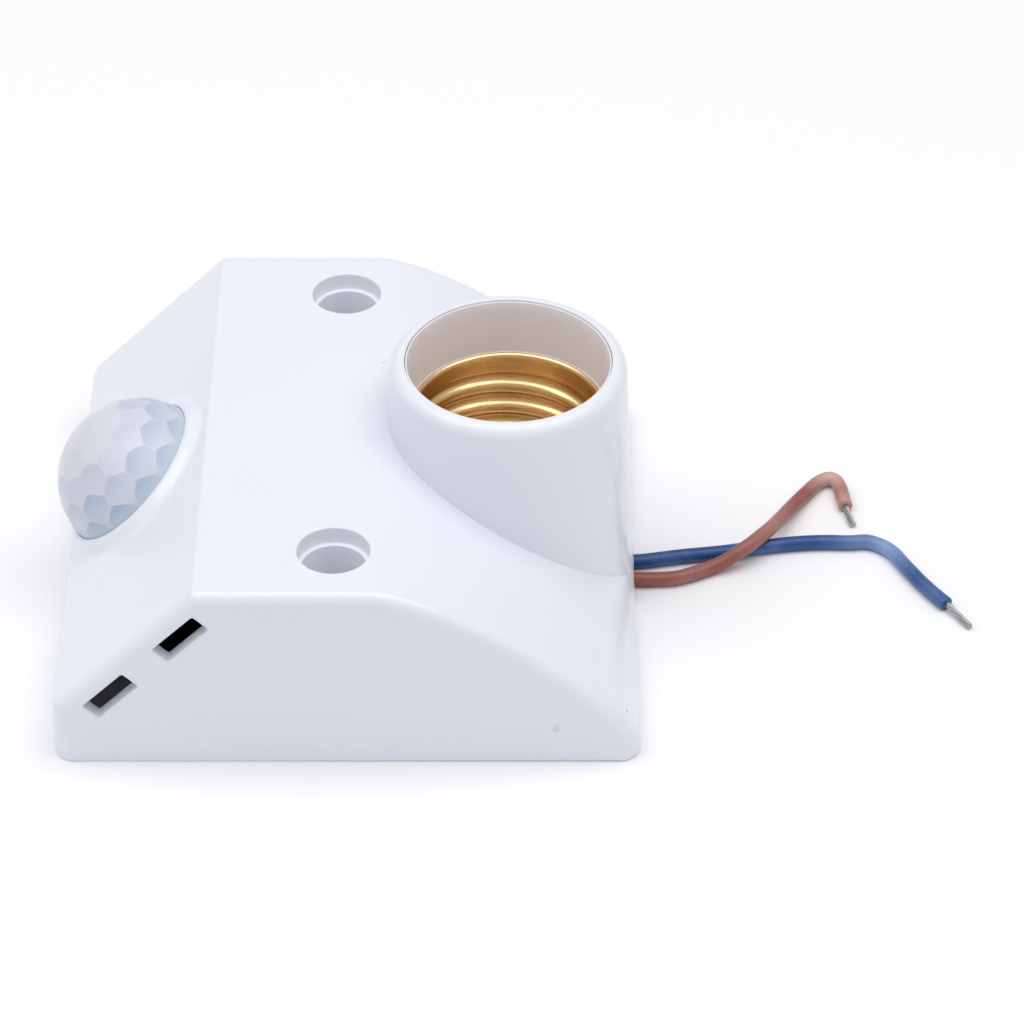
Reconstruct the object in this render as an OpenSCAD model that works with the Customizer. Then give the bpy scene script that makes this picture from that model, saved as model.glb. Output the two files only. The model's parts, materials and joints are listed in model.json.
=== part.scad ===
/* [Housing] */
// Width of the housing, from the lens end to the cable end
body_w = 80; // [76:1:90]
// Depth of the housing, front to back
body_d = 80; // [76:1:90]
// Height of the flat top above the base
body_h = 29; // [28:0.5:32]
// Height of the upright face at the lens end
front_h = 9; // [8:0.5:11]
// Distance that the slanted lens face runs inwards
slant_run = 20; // [19:0.5:22]
// Where the flat top ends and the curve starts to fall, from the middle
fall_x = 3; // [2:0.5:6]
// How long the curve stays level before it bends down
fall_lead = 10.2; // [8:0.2:12]
// How far the curve comes straight down at the cable end
fall_drop = 6.7; // [5:0.1:8]
// Height of the upright face at the cable end
end_h = 2.5; // [2:0.1:4]
// Thickness of the moulded wall
wall = 2.2; // [1.8:0.1:2.4]
// Radius of the four upright corners
corner_r = 2.8; // [2.5:0.1:4]
// Radius of the top edges at front and back
edge_r = 1.5; // [1:0.1:2]
// Radius of the creases on the top
crease_r = 1; // [0.5:0.1:2]

/* [Lamp sleeve] */
// Distance of the sleeve's axis from the cable end
sleeve_in = 18; // [18:0.5:20]
// Height of the sleeve's rim above the base
rim_z = 38.9; // [37:0.1:42]
// Radius of the sleeve's bore
bore_r = 14.4; // [14.4:0.1:15]
// Thickness of the sleeve at its rim
sleeve_wall = 2.1; // [1.8:0.1:2.4]
// Radius of the rim's outer edge
rim_r = 1.5; // [1:0.1:1.7]
// Draft of the sleeve's outside, in degrees
draft = 2.5; // [1:0.1:3]
// Height at which the sleeve's tube ends inside the housing
tube_z = 8.5; // [8.2:0.1:9]

/* [Mounting holes] */
// Place of the two mounting holes, from the middle
hole_x = -1.5; // [-3:0.5:0]
// Distance of each mounting hole from the front or back of the housing
hole_in = 10; // [9:0.5:11]
// Radius of the counterbore
counter_r = 4.9; // [4.7:0.1:5.2]
// Depth of the counterbore
counter_depth = 2.6; // [2:0.1:4]
// Radius of the well for the screw's head
well_r = 4.35; // [4:0.05:4.6]
// Thickness of the well's tube
well_wall = 1.8; // [1.4:0.1:2]
// Radius of the hole for the screw's shank, in the base plate
shank_r = 2.25; // [2:0.05:2.6]

/* [Lens] */
// Radius of the lens's dome
lens_r = 11.5; // [11:0.1:12]
// Place of the lens, up the slanted face from its middle
lens_u = -0.8; // [-1:0.1:0]
// Depth of the dome's centre under the slanted face
lens_sink = 0.6; // [0:0.1:1]
// Thickness of the lens's wall
lens_wall = 0.8; // [0.6:0.1:1]
// Radius of the lens's flange
flange_r = 12.25; // [12.1:0.05:12.3]
// Thickness of the lens's flange
flange_t = 1; // [0.8:0.1:1.2]
// Height of the raised collar round the lens
collar_h = 1.3; // [1:0.1:2]
// Radius at which the collar's flare meets the slanted face
collar_r = 14.2; // [13.8:0.1:15]
// Gap between the lens and its hole
lens_gap = 0.15; // [0.1:0.05:0.3]

/* [Ventilation slots] */
// Length of a slot
slot_l = 8; // [6:0.5:9]
// Height of a slot
slot_h = 3; // [2:0.5:3.5]
// Distance between the two slots
slot_pitch = 14; // [12:0.5:15]
// Place of the pair, up the slanted face from its middle
slot_u = 0.5; // [0:0.1:1]
// Depth of the slots under the slanted face
slot_depth = 4; // [4:0.1:5]

/* [Base plate] */
// Thickness of the base plate
plate_t = 2; // [1.6:0.1:2.2]
// Gap between the base plate and the housing's walls
plate_gap = 0.2; // [0.1:0.05:0.4]
// Width of the notch that the cable leaves through
notch_w = 10.4; // [9:0.2:12]
// Height of the notch above the base
notch_h = 3.3; // [3:0.1:3.6]
// Width of the cut-out for the cable in the base plate
cutout_w = 14; // [12:0.5:16]
// Length of the cut-out, in from the plate's edge
cutout_l = 5; // [4:0.5:6]

/* [Lamp socket] */
// Gap between the socket liner and the sleeve
liner_gap = 0.2; // [0.1:0.05:0.3]
// Thickness of the liner's wall
liner_wall = 0.45; // [0.4:0.05:0.6]
// How far the liner's edge lies below the rim
liner_drop = 0.4; // [0.2:0.1:0.8]
// Thickness of the liner's floor
floor_t = 2; // [1.6:0.1:2]
// Radius of the screw shell's inside at the roots of its thread
thread_root_r = 13.3; // [13.28:0.01:13.32]
// Radius of the screw shell's inside at the crests of its thread
thread_crest_r = 12.3; // [12.2:0.02:12.34]
// Distance from one crest to the next
thread_pitch = 3.629; // [3.6:0.001:3.65]
// Thickness of the brass sheet
sheet_t = 0.3; // [0.2:0.02:0.3]
// Gap between the screw shell and the liner
shell_gap = 0.05; // [0.03:0.01:0.1]
// Height of the screw shell's top edge above the base
shell_top = 30.3; // [29:0.1:31]
// Height of the step that the screw shell stands on
step_z = 10.3; // [10:0.1:11]
// Height of the centre contact's tip
contact_z = 12; // [11.6:0.1:12.6]

/* [Circuit boards] */
// Height of the main board's underside
board_z = 5; // [4.8:0.1:5.2]
// Thickness of both boards
board_t = 1.6; // [1.2:0.1:1.6]
// Distance of the main board's edge from the lens end
board_in = 10; // [9.5:0.5:11]
// Gap between the main board and the wells of the mounting screws
board_gap = 1.35; // [0.8:0.05:1.8]
// Distance from the main board's edge to the screws of the socket
socket_room = 5.28; // [5:0.02:6]
// Distance from the main board's edge to the socket's axis
sleeve_room = 19; // [18.5:0.5:20]
// How far short of the socket's axis the main board's two ears end
ear_short = 2; // [0:0.5:2]
// Width of each ear
ear_w = 5; // [4.8:0.1:5]
// Depth of the sensor board's face under the slanted face
sensor_depth = 6.2; // [6:0.1:6.4]
// Width of the sensor board
sensor_w = 36; // [35:0.5:38]
// Radius of the motion sensor's can
can_r = 4.1; // [4:0.1:4.2]
// Height of the motion sensor's can
can_h = 4.2; // [3.8:0.1:4.6]

/* [Fasteners] */
// Distance of the plate screws at the cable end from the front or back of the housing
plate_screw_in = 7; // [6.5:0.5:8]
// Radius of a plate screw's shank
plate_screw_r = 1.2; // [1.1:0.05:1.3]
// Radius of a plate screw's head
plate_head_r = 2.5; // [2.3:0.1:2.6]
// Radius of a board screw's shank
board_screw_r = 0.9; // [0.8:0.05:1]
// Radius of a board screw's head
board_head_r = 1.8; // [1.6:0.1:1.9]
// Gap all round a screw's shank in its hole
screw_gap = 0.1; // [0.08:0.01:0.15]

/* [Wires] */
// Diameter of the supply wires over their insulation
wire_d = 2.1; // [2:0.05:2.2]
// Diameter of the tinned wire ends
strand_d = 1; // [0.8:0.05:1.1]
// Diameter of the lamp leads inside the housing
lead_d = 1.6; // [1.4:0.1:1.7]

/* [Hidden] */
$fn = 48;
eps = 0.01;
far = 100;

// Outline of the housing, seen from the front and set in by a distance
crease_x = -body_w / 2 + slant_run;
slant_a = atan2(body_h - front_h, slant_run);
slope = tan(slant_a);
fall_steps = 14;
crease_steps = 3;
corner_steps = 6;
function bezier(a, b, c, d, t) =
    pow(1 - t, 3) * a + 3 * pow(1 - t, 2) * t * b + 3 * (1 - t) * t * t * c + pow(t, 3) * d;
fall_knots = [[fall_x, body_h], [fall_x + fall_lead, body_h],
              [body_w / 2, end_h + fall_drop], [body_w / 2, end_h]];
function fall_point(t) = bezier(fall_knots[0], fall_knots[1], fall_knots[2], fall_knots[3], t);
function fall_in(t) =
    let (h = fall_point(min(t + 0.01, 1)) - fall_point(max(t - 0.01, 0)))
    [h[1], -h[0]] / norm(h);
function arc(centre, r, a0, a1, n) =
    [for (i = [0:n]) let (a = a0 + (a1 - a0) * i / n) centre + r * [cos(a), sin(a)]];
function outline(in_x, in_top, r, low) =
    let (x0 = -body_w / 2 + in_x, x1 = body_w / 2 - in_x,
         knee = [x0 + r, front_h + (in_x + r) * slope - (in_top + r) / cos(slant_a)],
         crease = [crease_x + (in_top + r) * tan(slant_a / 2), body_h - in_top - r])
    concat([[x0, low]], arc(knee, r, 180, 90 + slant_a, crease_steps),
           arc(crease, r, 90 + slant_a, 90, crease_steps),
           [for (i = [0:fall_steps]) let (t = i / fall_steps, p = fall_point(t) + in_top * fall_in(t))
               [min(p[0], x1 - i / 1000), p[1]]],
           [[x1, low]]);

// Places that several pieces share
sleeve_x = body_w / 2 - sleeve_in;
hole_pitch = body_d - 2 * hole_in;
board_d = 2 * (hole_pitch / 2 - well_r - well_wall - board_gap);
slant_mid = [(crease_x - body_w / 2) / 2, (body_h + front_h) / 2];
sleeve_r = bore_r + sleeve_wall;
sleeve_foot_z = 2.5;
function sleeve_r_at(z) = sleeve_r + (rim_z - rim_r - z) * tan(draft);
liner_r = bore_r - liner_gap;
liner_in_r = liner_r - liner_wall;
floor_z = tube_z - floor_t;
hole_places = [[hole_x, -hole_pitch / 2], [hole_x, hole_pitch / 2]];
plate_near = [6 - body_w / 2, body_d / 2 - 18];
plate_far = [body_w / 2 - 10, body_d / 2 - plate_screw_in];
plate_places = [for (p = [plate_near, plate_far], s = [-1, 1]) [p[0], s * p[1]]];
plate_boss_r = plate_head_r;
plate_head_h = 1.3;
socket_screw_at = liner_r + 5.2;
socket_screw_a = 180 - asin((board_d / 2 - ear_w - 3.782) / socket_screw_at);
socket_places = [for (s = [-1, 1]) [sleeve_x + socket_screw_at * cos(socket_screw_a),
                                    s * socket_screw_at * sin(socket_screw_a)]];
socket_boss_r = 2.4;
socket_boss_top = tube_z + 8;
board_x0 = board_in - body_w / 2;
board_x1 = min(socket_places[0][0] - socket_room, sleeve_x - sleeve_room);
ear_x1 = sleeve_x - ear_short;
board_top = board_z + board_t;
board_near = [board_x0 + 3, board_d / 2 - 3];
board_far = [board_x1 + ear_w, board_d / 2 - ear_w / 2];
board_places = [for (p = [board_near, board_far], s = [-1, 1]) [p[0], s * p[1]]];
board_post_r = 2.2;
sensor_screw_y = sensor_w / 2 - 2.5;
sensor_u0 = -7.2;
sensor_u1 = 8;
sensor_post_r = 2.2;
opening_r = lens_r + lens_gap;
seat_z = -wall;
flange_z = seat_z - flange_t;
tag_t = 0.8;
tag_w = 2.4;
tall_x = board_x0 + 17;
tall_w = board_x1 - 0.8 - tall_x;
tall_h = body_h - wall - board_top;
diode_pitch = 7.2;
supply_y = board_d / 2 - ear_w / 2 - 0.5;
supply_x = ear_x1 - 3;
lead_y = 4;
tag_z = 2.4;
wire_z = 3.5;
lead_z = 4.1;
contact_x = sleeve_x - 6.5;
shell_tab_x = sleeve_x + 6.5;
rivet_r = 0.9;
strip_w = 4;
strip_t = 0.4;

// Routes of the wires, as points on their centre lines
brown_route = [
    [17, -19.5, 3.5], [19.5, -19.5, 3.5], [22, -19, 3.5], [24.5, -17.7, 3.5], [27, -15.5, 3.5],
    [29.2, -12.8, 3.5], [31, -9.8, 3.5], [32.8, -6.8, 3.4], [34.5, -4.2, 2.8], [36.5, -2.5, 1.9],
    [38.5, -1.7, 1.25], [40.5, -1.5, 1.06], [43, -1.5, 1.06], [46, -1.2, 1.06], [48.6, -0.2, 1.1],
    [50.9, 1, 1.15], [53.3, 1.95, 1.75], [55.3, 2.75, 2.75], [57.2, 4.2, 3.25], [58.7, 5.95, 3.32],
    [60.1, 7.9, 3.15], [61.8, 11.2, 2.45], [63.7, 15.1, 1.6], [65.6, 18.4, 1.13], [67.3, 20.8, 1.07],
    [68.5, 21.9, 1.06], [69.6, 22.2, 1.06], [70.4, 21.5, 1.06], [70.8, 20.2, 1.06],
    [71.1, 18, 1.06], [71.4, 15.5, 1.06]];
brown_end_route = [[71.4, 15.5, 1.06], [71.46, 15, 1.06], [71.6, 14.3, 0.9], [71.9, 13, 0.72], [72.3, 11.7, 0.55]];
blue_route = [
    [17, 19.5, 3.5], [19.5, 19.5, 3.5], [22, 19.1, 3.5], [24.6, 18, 3.5], [27, 16, 3.5],
    [29.2, 13.2, 3.5], [31, 10.2, 3.5], [32.8, 7.2, 3.4], [34.5, 4.9, 2.8], [36.5, 3.3, 1.9],
    [38.5, 2.7, 1.25], [40.5, 2.6, 1.06], [43.5, 3.1, 1.06], [47, 3.8, 1.06], [50.5, 4.3, 1.06],
    [54, 4.9, 1.06], [57.4, 5.7, 1.06], [61, 6.4, 1.06], [64.5, 6.9, 1.06], [68, 7.1, 1.06],
    [71.5, 7, 1.06], [74, 7.2, 1.06], [76, 6.2, 1.06], [77.5, 4.7, 1.06], [79, 1.8, 1.06],
    [80.9, -1.8, 1.06], [82.6, -4.6, 1.06], [84.4, -7.2, 1.06]];
blue_end_route = [[84.4, -7.2, 1.06], [84.7, -7.65, 1.06], [85.4, -8.6, 0.9], [86.4, -10.1, 0.72], [87.4, -11.6, 0.55]];
function curve(a, b, lean, n) =
    let (c = a + [lead_end, 0, 0], d = b - [lead_end, 0, 0])
    concat([a], [for (i = [0:n]) bezier(c, c + [lean, 0, 0], d - [lean, 0, 0], d, i / n)], [b]);
lead_lug_x = 0.2;
lead_end = 0.8;
live_route = curve([board_x1, -lead_y, lead_z], [contact_x - lead_lug_x, 0, lead_z], 5, 7);
neutral_route = curve([board_x1, lead_y, lead_z], [shell_tab_x - lead_lug_x, 0, lead_z], 12, 10);

// A tube swept along a route, with a ring of corners at each point
function unit(v) = v / norm(v);
function heading(p, i) = unit(p[min(i + 1, len(p) - 1)] - p[max(i - 1, 0)]);
function ring(p, i, r, sides) =
    let (h = heading(p, i), side = unit(cross(h, [0, 0, 1])), top = cross(side, h))
    [for (k = [0:sides - 1]) let (a = 360 * (k + 0.5) / sides)
        p[i] + r * cos(a) * side + r * sin(a) * top];
module tube(p, d, sides = 8) {
    n = len(p);
    r = d / 2;
    points = [for (i = [0:n - 1]) each ring(p, i, r, sides)];
    walls = [for (i = [0:n - 2], k = [0:sides - 1]) let (a = i * sides, b = (k + 1) % sides)
        each [[a + k, a + sides + k, a + sides + b], [a + k, a + sides + b, a + b]]];
    near_cap = [[for (k = [0:sides - 1]) k]];
    far_cap = [[for (k = [sides - 1:-1:0]) (n - 1) * sides + k]];
    polyhedron(points, concat(near_cap, walls, far_cap));
}

// Frame of the slanted face: x up the slope, z out of it
module on_slant() {
    translate([slant_mid[0], 0, slant_mid[1]]) rotate([0, -slant_a, 0]) children();
}
module at_lens() {
    on_slant() translate([lens_u, 0, 0]) children();
}
module bar(r, z0, z1) {
    translate([0, 0, z0]) cylinder(r = r, h = z1 - z0);
}
module at_places(places) {
    for (p = places) translate([p[0], p[1], 0]) children();
}

// Rounded body of the housing, set in from its outside by inset: one outline for each slice
module body_form(inset, low) {
    corner = max(corner_r - inset, 0.4);
    edge = max(edge_r - inset, 0.4);
    crease = max(crease_r - inset / 2, 0.2);
    half = body_d / 2 - inset;
    angles = [for (i = [corner_steps:-1:-corner_steps]) 90 * i / corner_steps];
    slices = [for (i = [0:len(angles) - 1])
        let (a = abs(angles[i]), reach = corner * sin(a), past = max(reach - (corner - edge), 0),
             in_x = inset + corner * (1 - cos(a)),
             in_top = inset + edge - sqrt(max(edge * edge - past * past, 0)),
             y = (i < corner_steps ? -1 : 1) * (half - corner + reach))
        [for (p = outline(in_x, in_top, crease, low)) [p[0], y, p[1]]]];
    middle = corner_steps;
    all = concat([for (i = [0:middle - 1]) slices[i]],
                 [[for (p = slices[middle]) [p[0], -half + corner, p[2]]], slices[middle]],
                 [for (i = [middle + 1:len(slices) - 1]) slices[i]]);
    n = len(all[0]);
    last = len(all) - 1;
    walls = [for (j = [0:last - 1], k = [0:n - 1]) let (a = j * n, b = (k + 1) % n)
        each [[a + k, a + n + k, a + n + b], [a + k, a + n + b, a + b]]];
    polyhedron([for (slice = all) each slice],
               concat([[for (k = [0:n - 1]) k]], walls, [[for (k = [n - 1:-1:0]) last * n + k]]));
}
module sleeve_form(foot) {
    rotate_extrude() polygon(concat(
        [[0, foot], [sleeve_r_at(foot), foot]],
        [for (a = [0:15:90]) [sleeve_r - rim_r + rim_r * cos(a), rim_z - rim_r + rim_r * sin(a)]],
        [[0, rim_z]]));
}
module collar() {
    inner = opening_r;
    rotate_extrude() polygon(concat(
        [[inner - eps, -wall / 2], [inner - eps, collar_h - 0.3], [inner + 0.1, collar_h - 0.1],
         [inner + 0.3, collar_h]],
        [for (t = [0.2:0.2:1])
            bezier([inner + 0.3, collar_h], [inner + 1.2, collar_h], [inner + 1.3, 0.05],
                   [collar_r, 0], t)],
        [[collar_r, -wall / 2]]));
}
module slots() {
    for (face = [-1, 1], s = [-1, 1])
        on_slant() translate([slot_u + s * slot_pitch / 2, face * body_d / 2, -slot_depth])
            cube([slot_l, 3 * wall, slot_h], center = true);
}

module housing() {
    color([0.93, 0.94, 0.97]) difference() {
        union() {
            difference() {
                union() {
                    body_form(0, 0);
                    translate([sleeve_x, 0, 0]) sleeve_form(sleeve_foot_z);
                    intersection() {
                        at_lens() collar();
                        translate([-body_w / 2, -far / 2, 0]) cube([far, far, far]);
                    }
                }
                body_form(wall, -1);
            }
            translate([sleeve_x, 0, 0]) sleeve_form(tube_z);
            at_places(hole_places) bar(well_r + well_wall, plate_t, body_h - wall / 2);
            at_places(socket_places) bar(socket_boss_r, tube_z, socket_boss_top);
            intersection() {
                union() {
                    at_places(plate_places) bar(plate_boss_r, plate_t, body_h);
                    at_lens() for (s = [-1, 1]) translate([0, s * sensor_screw_y, 0])
                        bar(sensor_post_r, -sensor_depth, 0);
                }
                body_form(wall / 2, -1);
            }
        }
        translate([sleeve_x, 0, 0]) bar(bore_r, floor_z - 0.3, rim_z + 1);
        at_places(hole_places) {
            bar(well_r, -1, body_h + 1);
            bar(counter_r, body_h - counter_depth, body_h + 1);
        }
        at_places(socket_places) bar(board_screw_r + screw_gap, tube_z - 1, socket_boss_top - 1);
        at_places(plate_places) bar(plate_screw_r + screw_gap, -1, plate_t + 6);
        at_lens() {
            bar(opening_r, -wall - 1, collar_h + 1);
            for (s = [-1, 1]) translate([0, s * sensor_screw_y, 0])
                bar(board_screw_r + screw_gap, -sensor_depth - 1, -wall - 0.5);
        }
        slots();
        translate([body_w / 2 - 2 * wall, -notch_w / 2, -1]) cube([3 * wall, notch_w, 1 + notch_h]);
    }
}

module base_plate() {
    edge_x = body_w / 2 - wall - plate_gap;
    edge_y = body_d / 2 - wall - plate_gap;
    plate_r = 0.8;
    color([0.9, 0.91, 0.93]) difference() {
        union() {
            translate([-edge_x, -edge_y + plate_r, 0])
                cube([2 * edge_x, 2 * (edge_y - plate_r), plate_t]);
            translate([-edge_x + plate_r, -edge_y, 0])
                cube([2 * (edge_x - plate_r), 2 * edge_y, plate_t]);
            for (sx = [-1, 1], sy = [-1, 1])
                translate([sx * (edge_x - plate_r), sy * (edge_y - plate_r), 0]) bar(plate_r, 0, plate_t);
            at_places(board_places) bar(board_post_r, 0, board_z);
        }
        at_places(hole_places) bar(shank_r, -1, plate_t + 1);
        at_places(plate_places) {
            bar(plate_screw_r + screw_gap, -1, plate_t + 1);
            translate([0, 0, -eps])
                cylinder(r1 = plate_head_r + screw_gap, r2 = plate_screw_r + screw_gap,
                         h = plate_head_h + 0.3);
        }
        at_places(board_places) bar(board_screw_r + screw_gap, plate_t / 2, board_z + 1);
        translate([edge_x - cutout_l, -cutout_w / 2, -1]) cube([cutout_l + 1, cutout_w, plate_t + 2]);
    }
}

module cross_recess(r, z0, z1) {
    for (a = [0, 90]) rotate(a)
        translate([-r, -r / 5, z0]) cube([2 * r, 2 * r / 5, z1 - z0]);
}
module base_screws() {
    color([0.75, 0.76, 0.78]) at_places(plate_places) difference() {
        union() {
            translate([0, 0, 0.1])
                cylinder(r1 = plate_head_r, r2 = plate_screw_r, h = plate_head_h);
            bar(plate_screw_r, 0.1, plate_t + 5);
        }
        cross_recess(plate_head_r / 2, 0, 0.7);
    }
}
module pan_screw(length) {
    head_h = 1.4;
    difference() {
        union() {
            bar(board_screw_r, -length, eps);
            bar(board_head_r, 0, head_h);
        }
        cross_recess(board_head_r / 2, head_h / 2, head_h + 1);
    }
}

module socket_liner() {
    color([0.85, 0.82, 0.8]) difference() {
        union() {
            translate([sleeve_x, 0, 0]) bar(liner_r, floor_z, rim_z - liner_drop);
            at_places(socket_places) bar(socket_boss_r, floor_z, tube_z);
            for (s = [-1, 1]) translate([sleeve_x, 0, floor_z]) rotate(s * socket_screw_a)
                translate([socket_screw_at / 2, 0.1 - socket_boss_r, 0])
                    cube([socket_screw_at / 2, 2 * socket_boss_r - 0.2, floor_t]);
        }
        translate([sleeve_x, 0, 0]) {
            bar(thread_root_r + sheet_t + shell_gap, step_z, rim_z);
            bar(liner_in_r, shell_top, rim_z);
            bar(thread_crest_r - 1.3, tube_z, step_z + 1);
        }
        for (x = [contact_x, shell_tab_x]) translate([x, 0, 0])
            bar(rivet_r + screw_gap, floor_z - 1, tube_z + 1);
        at_places(socket_places) bar(board_screw_r + screw_gap, floor_z - 1, tube_z + 1);
    }
}
module socket_screws() {
    color([0.75, 0.76, 0.78]) at_places(socket_places)
        translate([0, 0, floor_z]) rotate([180, 0, 0]) pan_screw(8);
}

// The shell's sheet follows a wave, one crest for each turn of the thread
module screw_shell() {
    wave = (thread_root_r - thread_crest_r) / 2;
    mid = thread_root_r - wave;
    base_z = step_z;
    lip = 1.9;
    turns = floor((shell_top - base_z - lip) / thread_pitch);
    wave_z = shell_top - lip - turns * thread_pitch;
    steps = 10;
    function at(i) = [mid + wave * cos(360 * i / steps), wave_z + i * thread_pitch / steps];
    inner = concat([[thread_root_r, base_z + sheet_t]],
                   [for (i = [0:turns * steps]) at(i)],
                   [[thread_root_r, shell_top]]);
    outer = concat([[thread_root_r + sheet_t, shell_top]],
                   [for (i = [turns * steps:-1:0]) at(i) + [sheet_t, 0]],
                   [[thread_root_r + sheet_t, base_z]]);
    color([0.8, 0.62, 0.33]) translate([sleeve_x, 0, 0]) rotate_extrude()
        polygon(concat([[thread_crest_r - 1.1, base_z], [thread_crest_r - 1.1, base_z + sheet_t]],
                       inner, outer));
}
module shell_contact() {
    fold_x = sleeve_x + thread_crest_r - 1.5;
    fold_z = step_z + sheet_t;
    color([0.83, 0.68, 0.4]) difference() {
        union() {
            translate([shell_tab_x - 1.6, -strip_w / 2, tube_z])
                cube([fold_x - shell_tab_x + 1.6, strip_w, strip_t]);
            translate([fold_x - strip_t, -strip_w / 2, tube_z])
                cube([strip_t, strip_w, fold_z + strip_t - tube_z]);
            translate([fold_x - strip_t, -strip_w / 2, fold_z]) cube([1.5, strip_w, strip_t]);
        }
        translate([shell_tab_x, 0, 0]) bar(rivet_r, tube_z - 1, tube_z + 1);
    }
}
// A leaf that rises from its rivet to a tip on the socket's axis
module centre_contact() {
    rise = contact_z - strip_t - tube_z;
    color([0.85, 0.66, 0.4]) difference() {
        translate([0, strip_w / 2, 0]) rotate([90, 0, 0]) linear_extrude(strip_w) polygon([
            [contact_x - 1.8, tube_z], [contact_x + 1.6, tube_z],
            [sleeve_x - 1.2, tube_z + rise], [sleeve_x + 1.2, tube_z + rise],
            [sleeve_x + 3.2, tube_z + rise - 1.4], [sleeve_x + 3.5, tube_z + rise - 1],
            [sleeve_x + 1.4, contact_z], [sleeve_x - 1.4, contact_z],
            [contact_x + 1.4, tube_z + strip_t], [contact_x - 1.8, tube_z + strip_t]]);
        translate([contact_x, 0, 0]) bar(rivet_r, tube_z - 1, tube_z + 1);
    }
}
module contact_rivets() {
    head_t = 0.4;
    for (x = [contact_x, shell_tab_x]) color([0.8, 0.8, 0.82]) translate([x, 0, 0]) {
        bar(rivet_r, floor_z - 0.4, tube_z + strip_t + eps);
        bar(rivet_r + 0.6, tube_z + strip_t, tube_z + strip_t + head_t);
        translate([-lead_lug_x, -tag_w / 2, lead_z - 1.1])
            cube([2 * lead_lug_x, tag_w, floor_z - lead_z + 1.1]);
    }
}

module lens() {
    color([0.86, 0.88, 0.93, 0.85]) at_lens() difference() {
        union() {
            intersection() {
                translate([0, 0, -lens_sink]) sphere(lens_r);
                bar(lens_r + 1, -lens_sink, lens_r + 1);
            }
            bar(lens_r, flange_z, -lens_sink + eps);
            bar(flange_r, flange_z, seat_z);
        }
        intersection() {
            translate([0, 0, -lens_sink]) sphere(lens_r - lens_wall);
            bar(lens_r + 1, -lens_sink - eps, lens_r + 1);
        }
        bar(lens_r - lens_wall, flange_z - 1, -lens_sink);
    }
}
module lens_ring() {
    ring_r = flange_r - 0.8;
    color([0.2, 0.2, 0.22]) at_lens() difference() {
        bar(ring_r, -sensor_depth, flange_z);
        bar(lens_r - lens_wall, -sensor_depth - 1, flange_z + 1);
    }
}
module sensor_board() {
    color([0.1, 0.4, 0.22]) at_lens() difference() {
        translate([sensor_u0, -sensor_w / 2, -sensor_depth - board_t])
            cube([sensor_u1 - sensor_u0, sensor_w, board_t]);
        for (s = [-1, 1]) translate([0, s * sensor_screw_y, 0])
            bar(board_screw_r + screw_gap, -sensor_depth - board_t - 1, -sensor_depth + 1);
    }
}
module sensor_screws() {
    color([0.75, 0.76, 0.78]) at_lens() for (s = [-1, 1])
        translate([0, s * sensor_screw_y, -sensor_depth - board_t]) rotate([180, 0, 0]) pan_screw(4.5);
}
// Three pins that stand on the main board and reach the back of the sensor board
module sensor_pins() {
    pin_x = slant_mid[0] + 1.2;
    pin_pitch = 2.54;
    pin_w = 0.64;
    color([0.8, 0.8, 0.82]) intersection() {
        for (i = [-1:1]) translate([pin_x - pin_w / 2, i * pin_pitch - pin_w / 2, board_top])
            cube([pin_w, pin_w, 8]);
        on_slant() translate([-far / 2, -far / 2, -sensor_depth - board_t - far])
            cube([far, far, far]);
    }
}
module motion_sensor() {
    face = -sensor_depth;
    window_w = 3.4;
    color([0.7, 0.7, 0.72]) at_lens() difference() {
        union() {
            bar(can_r + 0.5, face, face + 0.6);
            bar(can_r, face, face + can_h);
        }
        translate([-window_w / 2, -window_w / 2, face + can_h - 0.3]) cube([window_w, window_w, 1]);
    }
}
module light_sensor() {
    color([0.85, 0.6, 0.45]) at_lens() translate([0, can_r + 3.4, 0]) bar(2.4, -sensor_depth, -3.8);
}

module main_board() {
    half = board_d / 2;
    color([0.1, 0.4, 0.22]) difference() {
        translate([0, 0, board_z]) linear_extrude(board_t) polygon([
            [board_x0, -half], [ear_x1, -half], [ear_x1, -half + ear_w], [board_x1, -half + ear_w],
            [board_x1, half - ear_w], [ear_x1, half - ear_w], [ear_x1, half], [board_x0, half]]);
        at_places(board_places) bar(board_screw_r + screw_gap, board_z - 1, board_top + 1);
    }
}
module board_screws() {
    color([0.75, 0.76, 0.78]) at_places(board_places)
        translate([0, 0, board_top]) pan_screw(board_t + 2.5);
}
// Tags under the board's edges, two for the supply and two for the lamp
module solder_tags() {
    color([0.8, 0.8, 0.82]) for (s = [-1, 1]) {
        translate([supply_x - tag_t, s * supply_y - tag_w / 2, tag_z])
            cube([tag_t, tag_w, board_z - tag_z]);
        translate([board_x1 - tag_t, s * lead_y - tag_w / 2, lead_z - 1.1])
            cube([tag_t, tag_w, board_z - lead_z + 1.1]);
    }
}
module relay() {
    y0 = 2.8;
    color([0.15, 0.35, 0.7]) translate([tall_x, y0, board_top])
        cube([tall_w, board_d / 2 - 0.7 - y0, tall_h - 4.9]);
}
module dropper_capacitor() {
    y0 = 1 - board_d / 2;
    color([0.85, 0.7, 0.2]) translate([tall_x + tall_w * 0.355, y0, board_top])
        cube([tall_w * 0.553, -3.5 - y0, tall_h - 5.7]);
}
module smoothing_capacitor() {
    can_d = tall_w * 0.355 + 2.604;
    color([0.2, 0.22, 0.3]) translate([tall_x - 4 + can_d / 2, 4.5 + can_d / 2 - board_d / 2, board_top])
        bar(can_d / 2, 0, 11);
}
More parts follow.
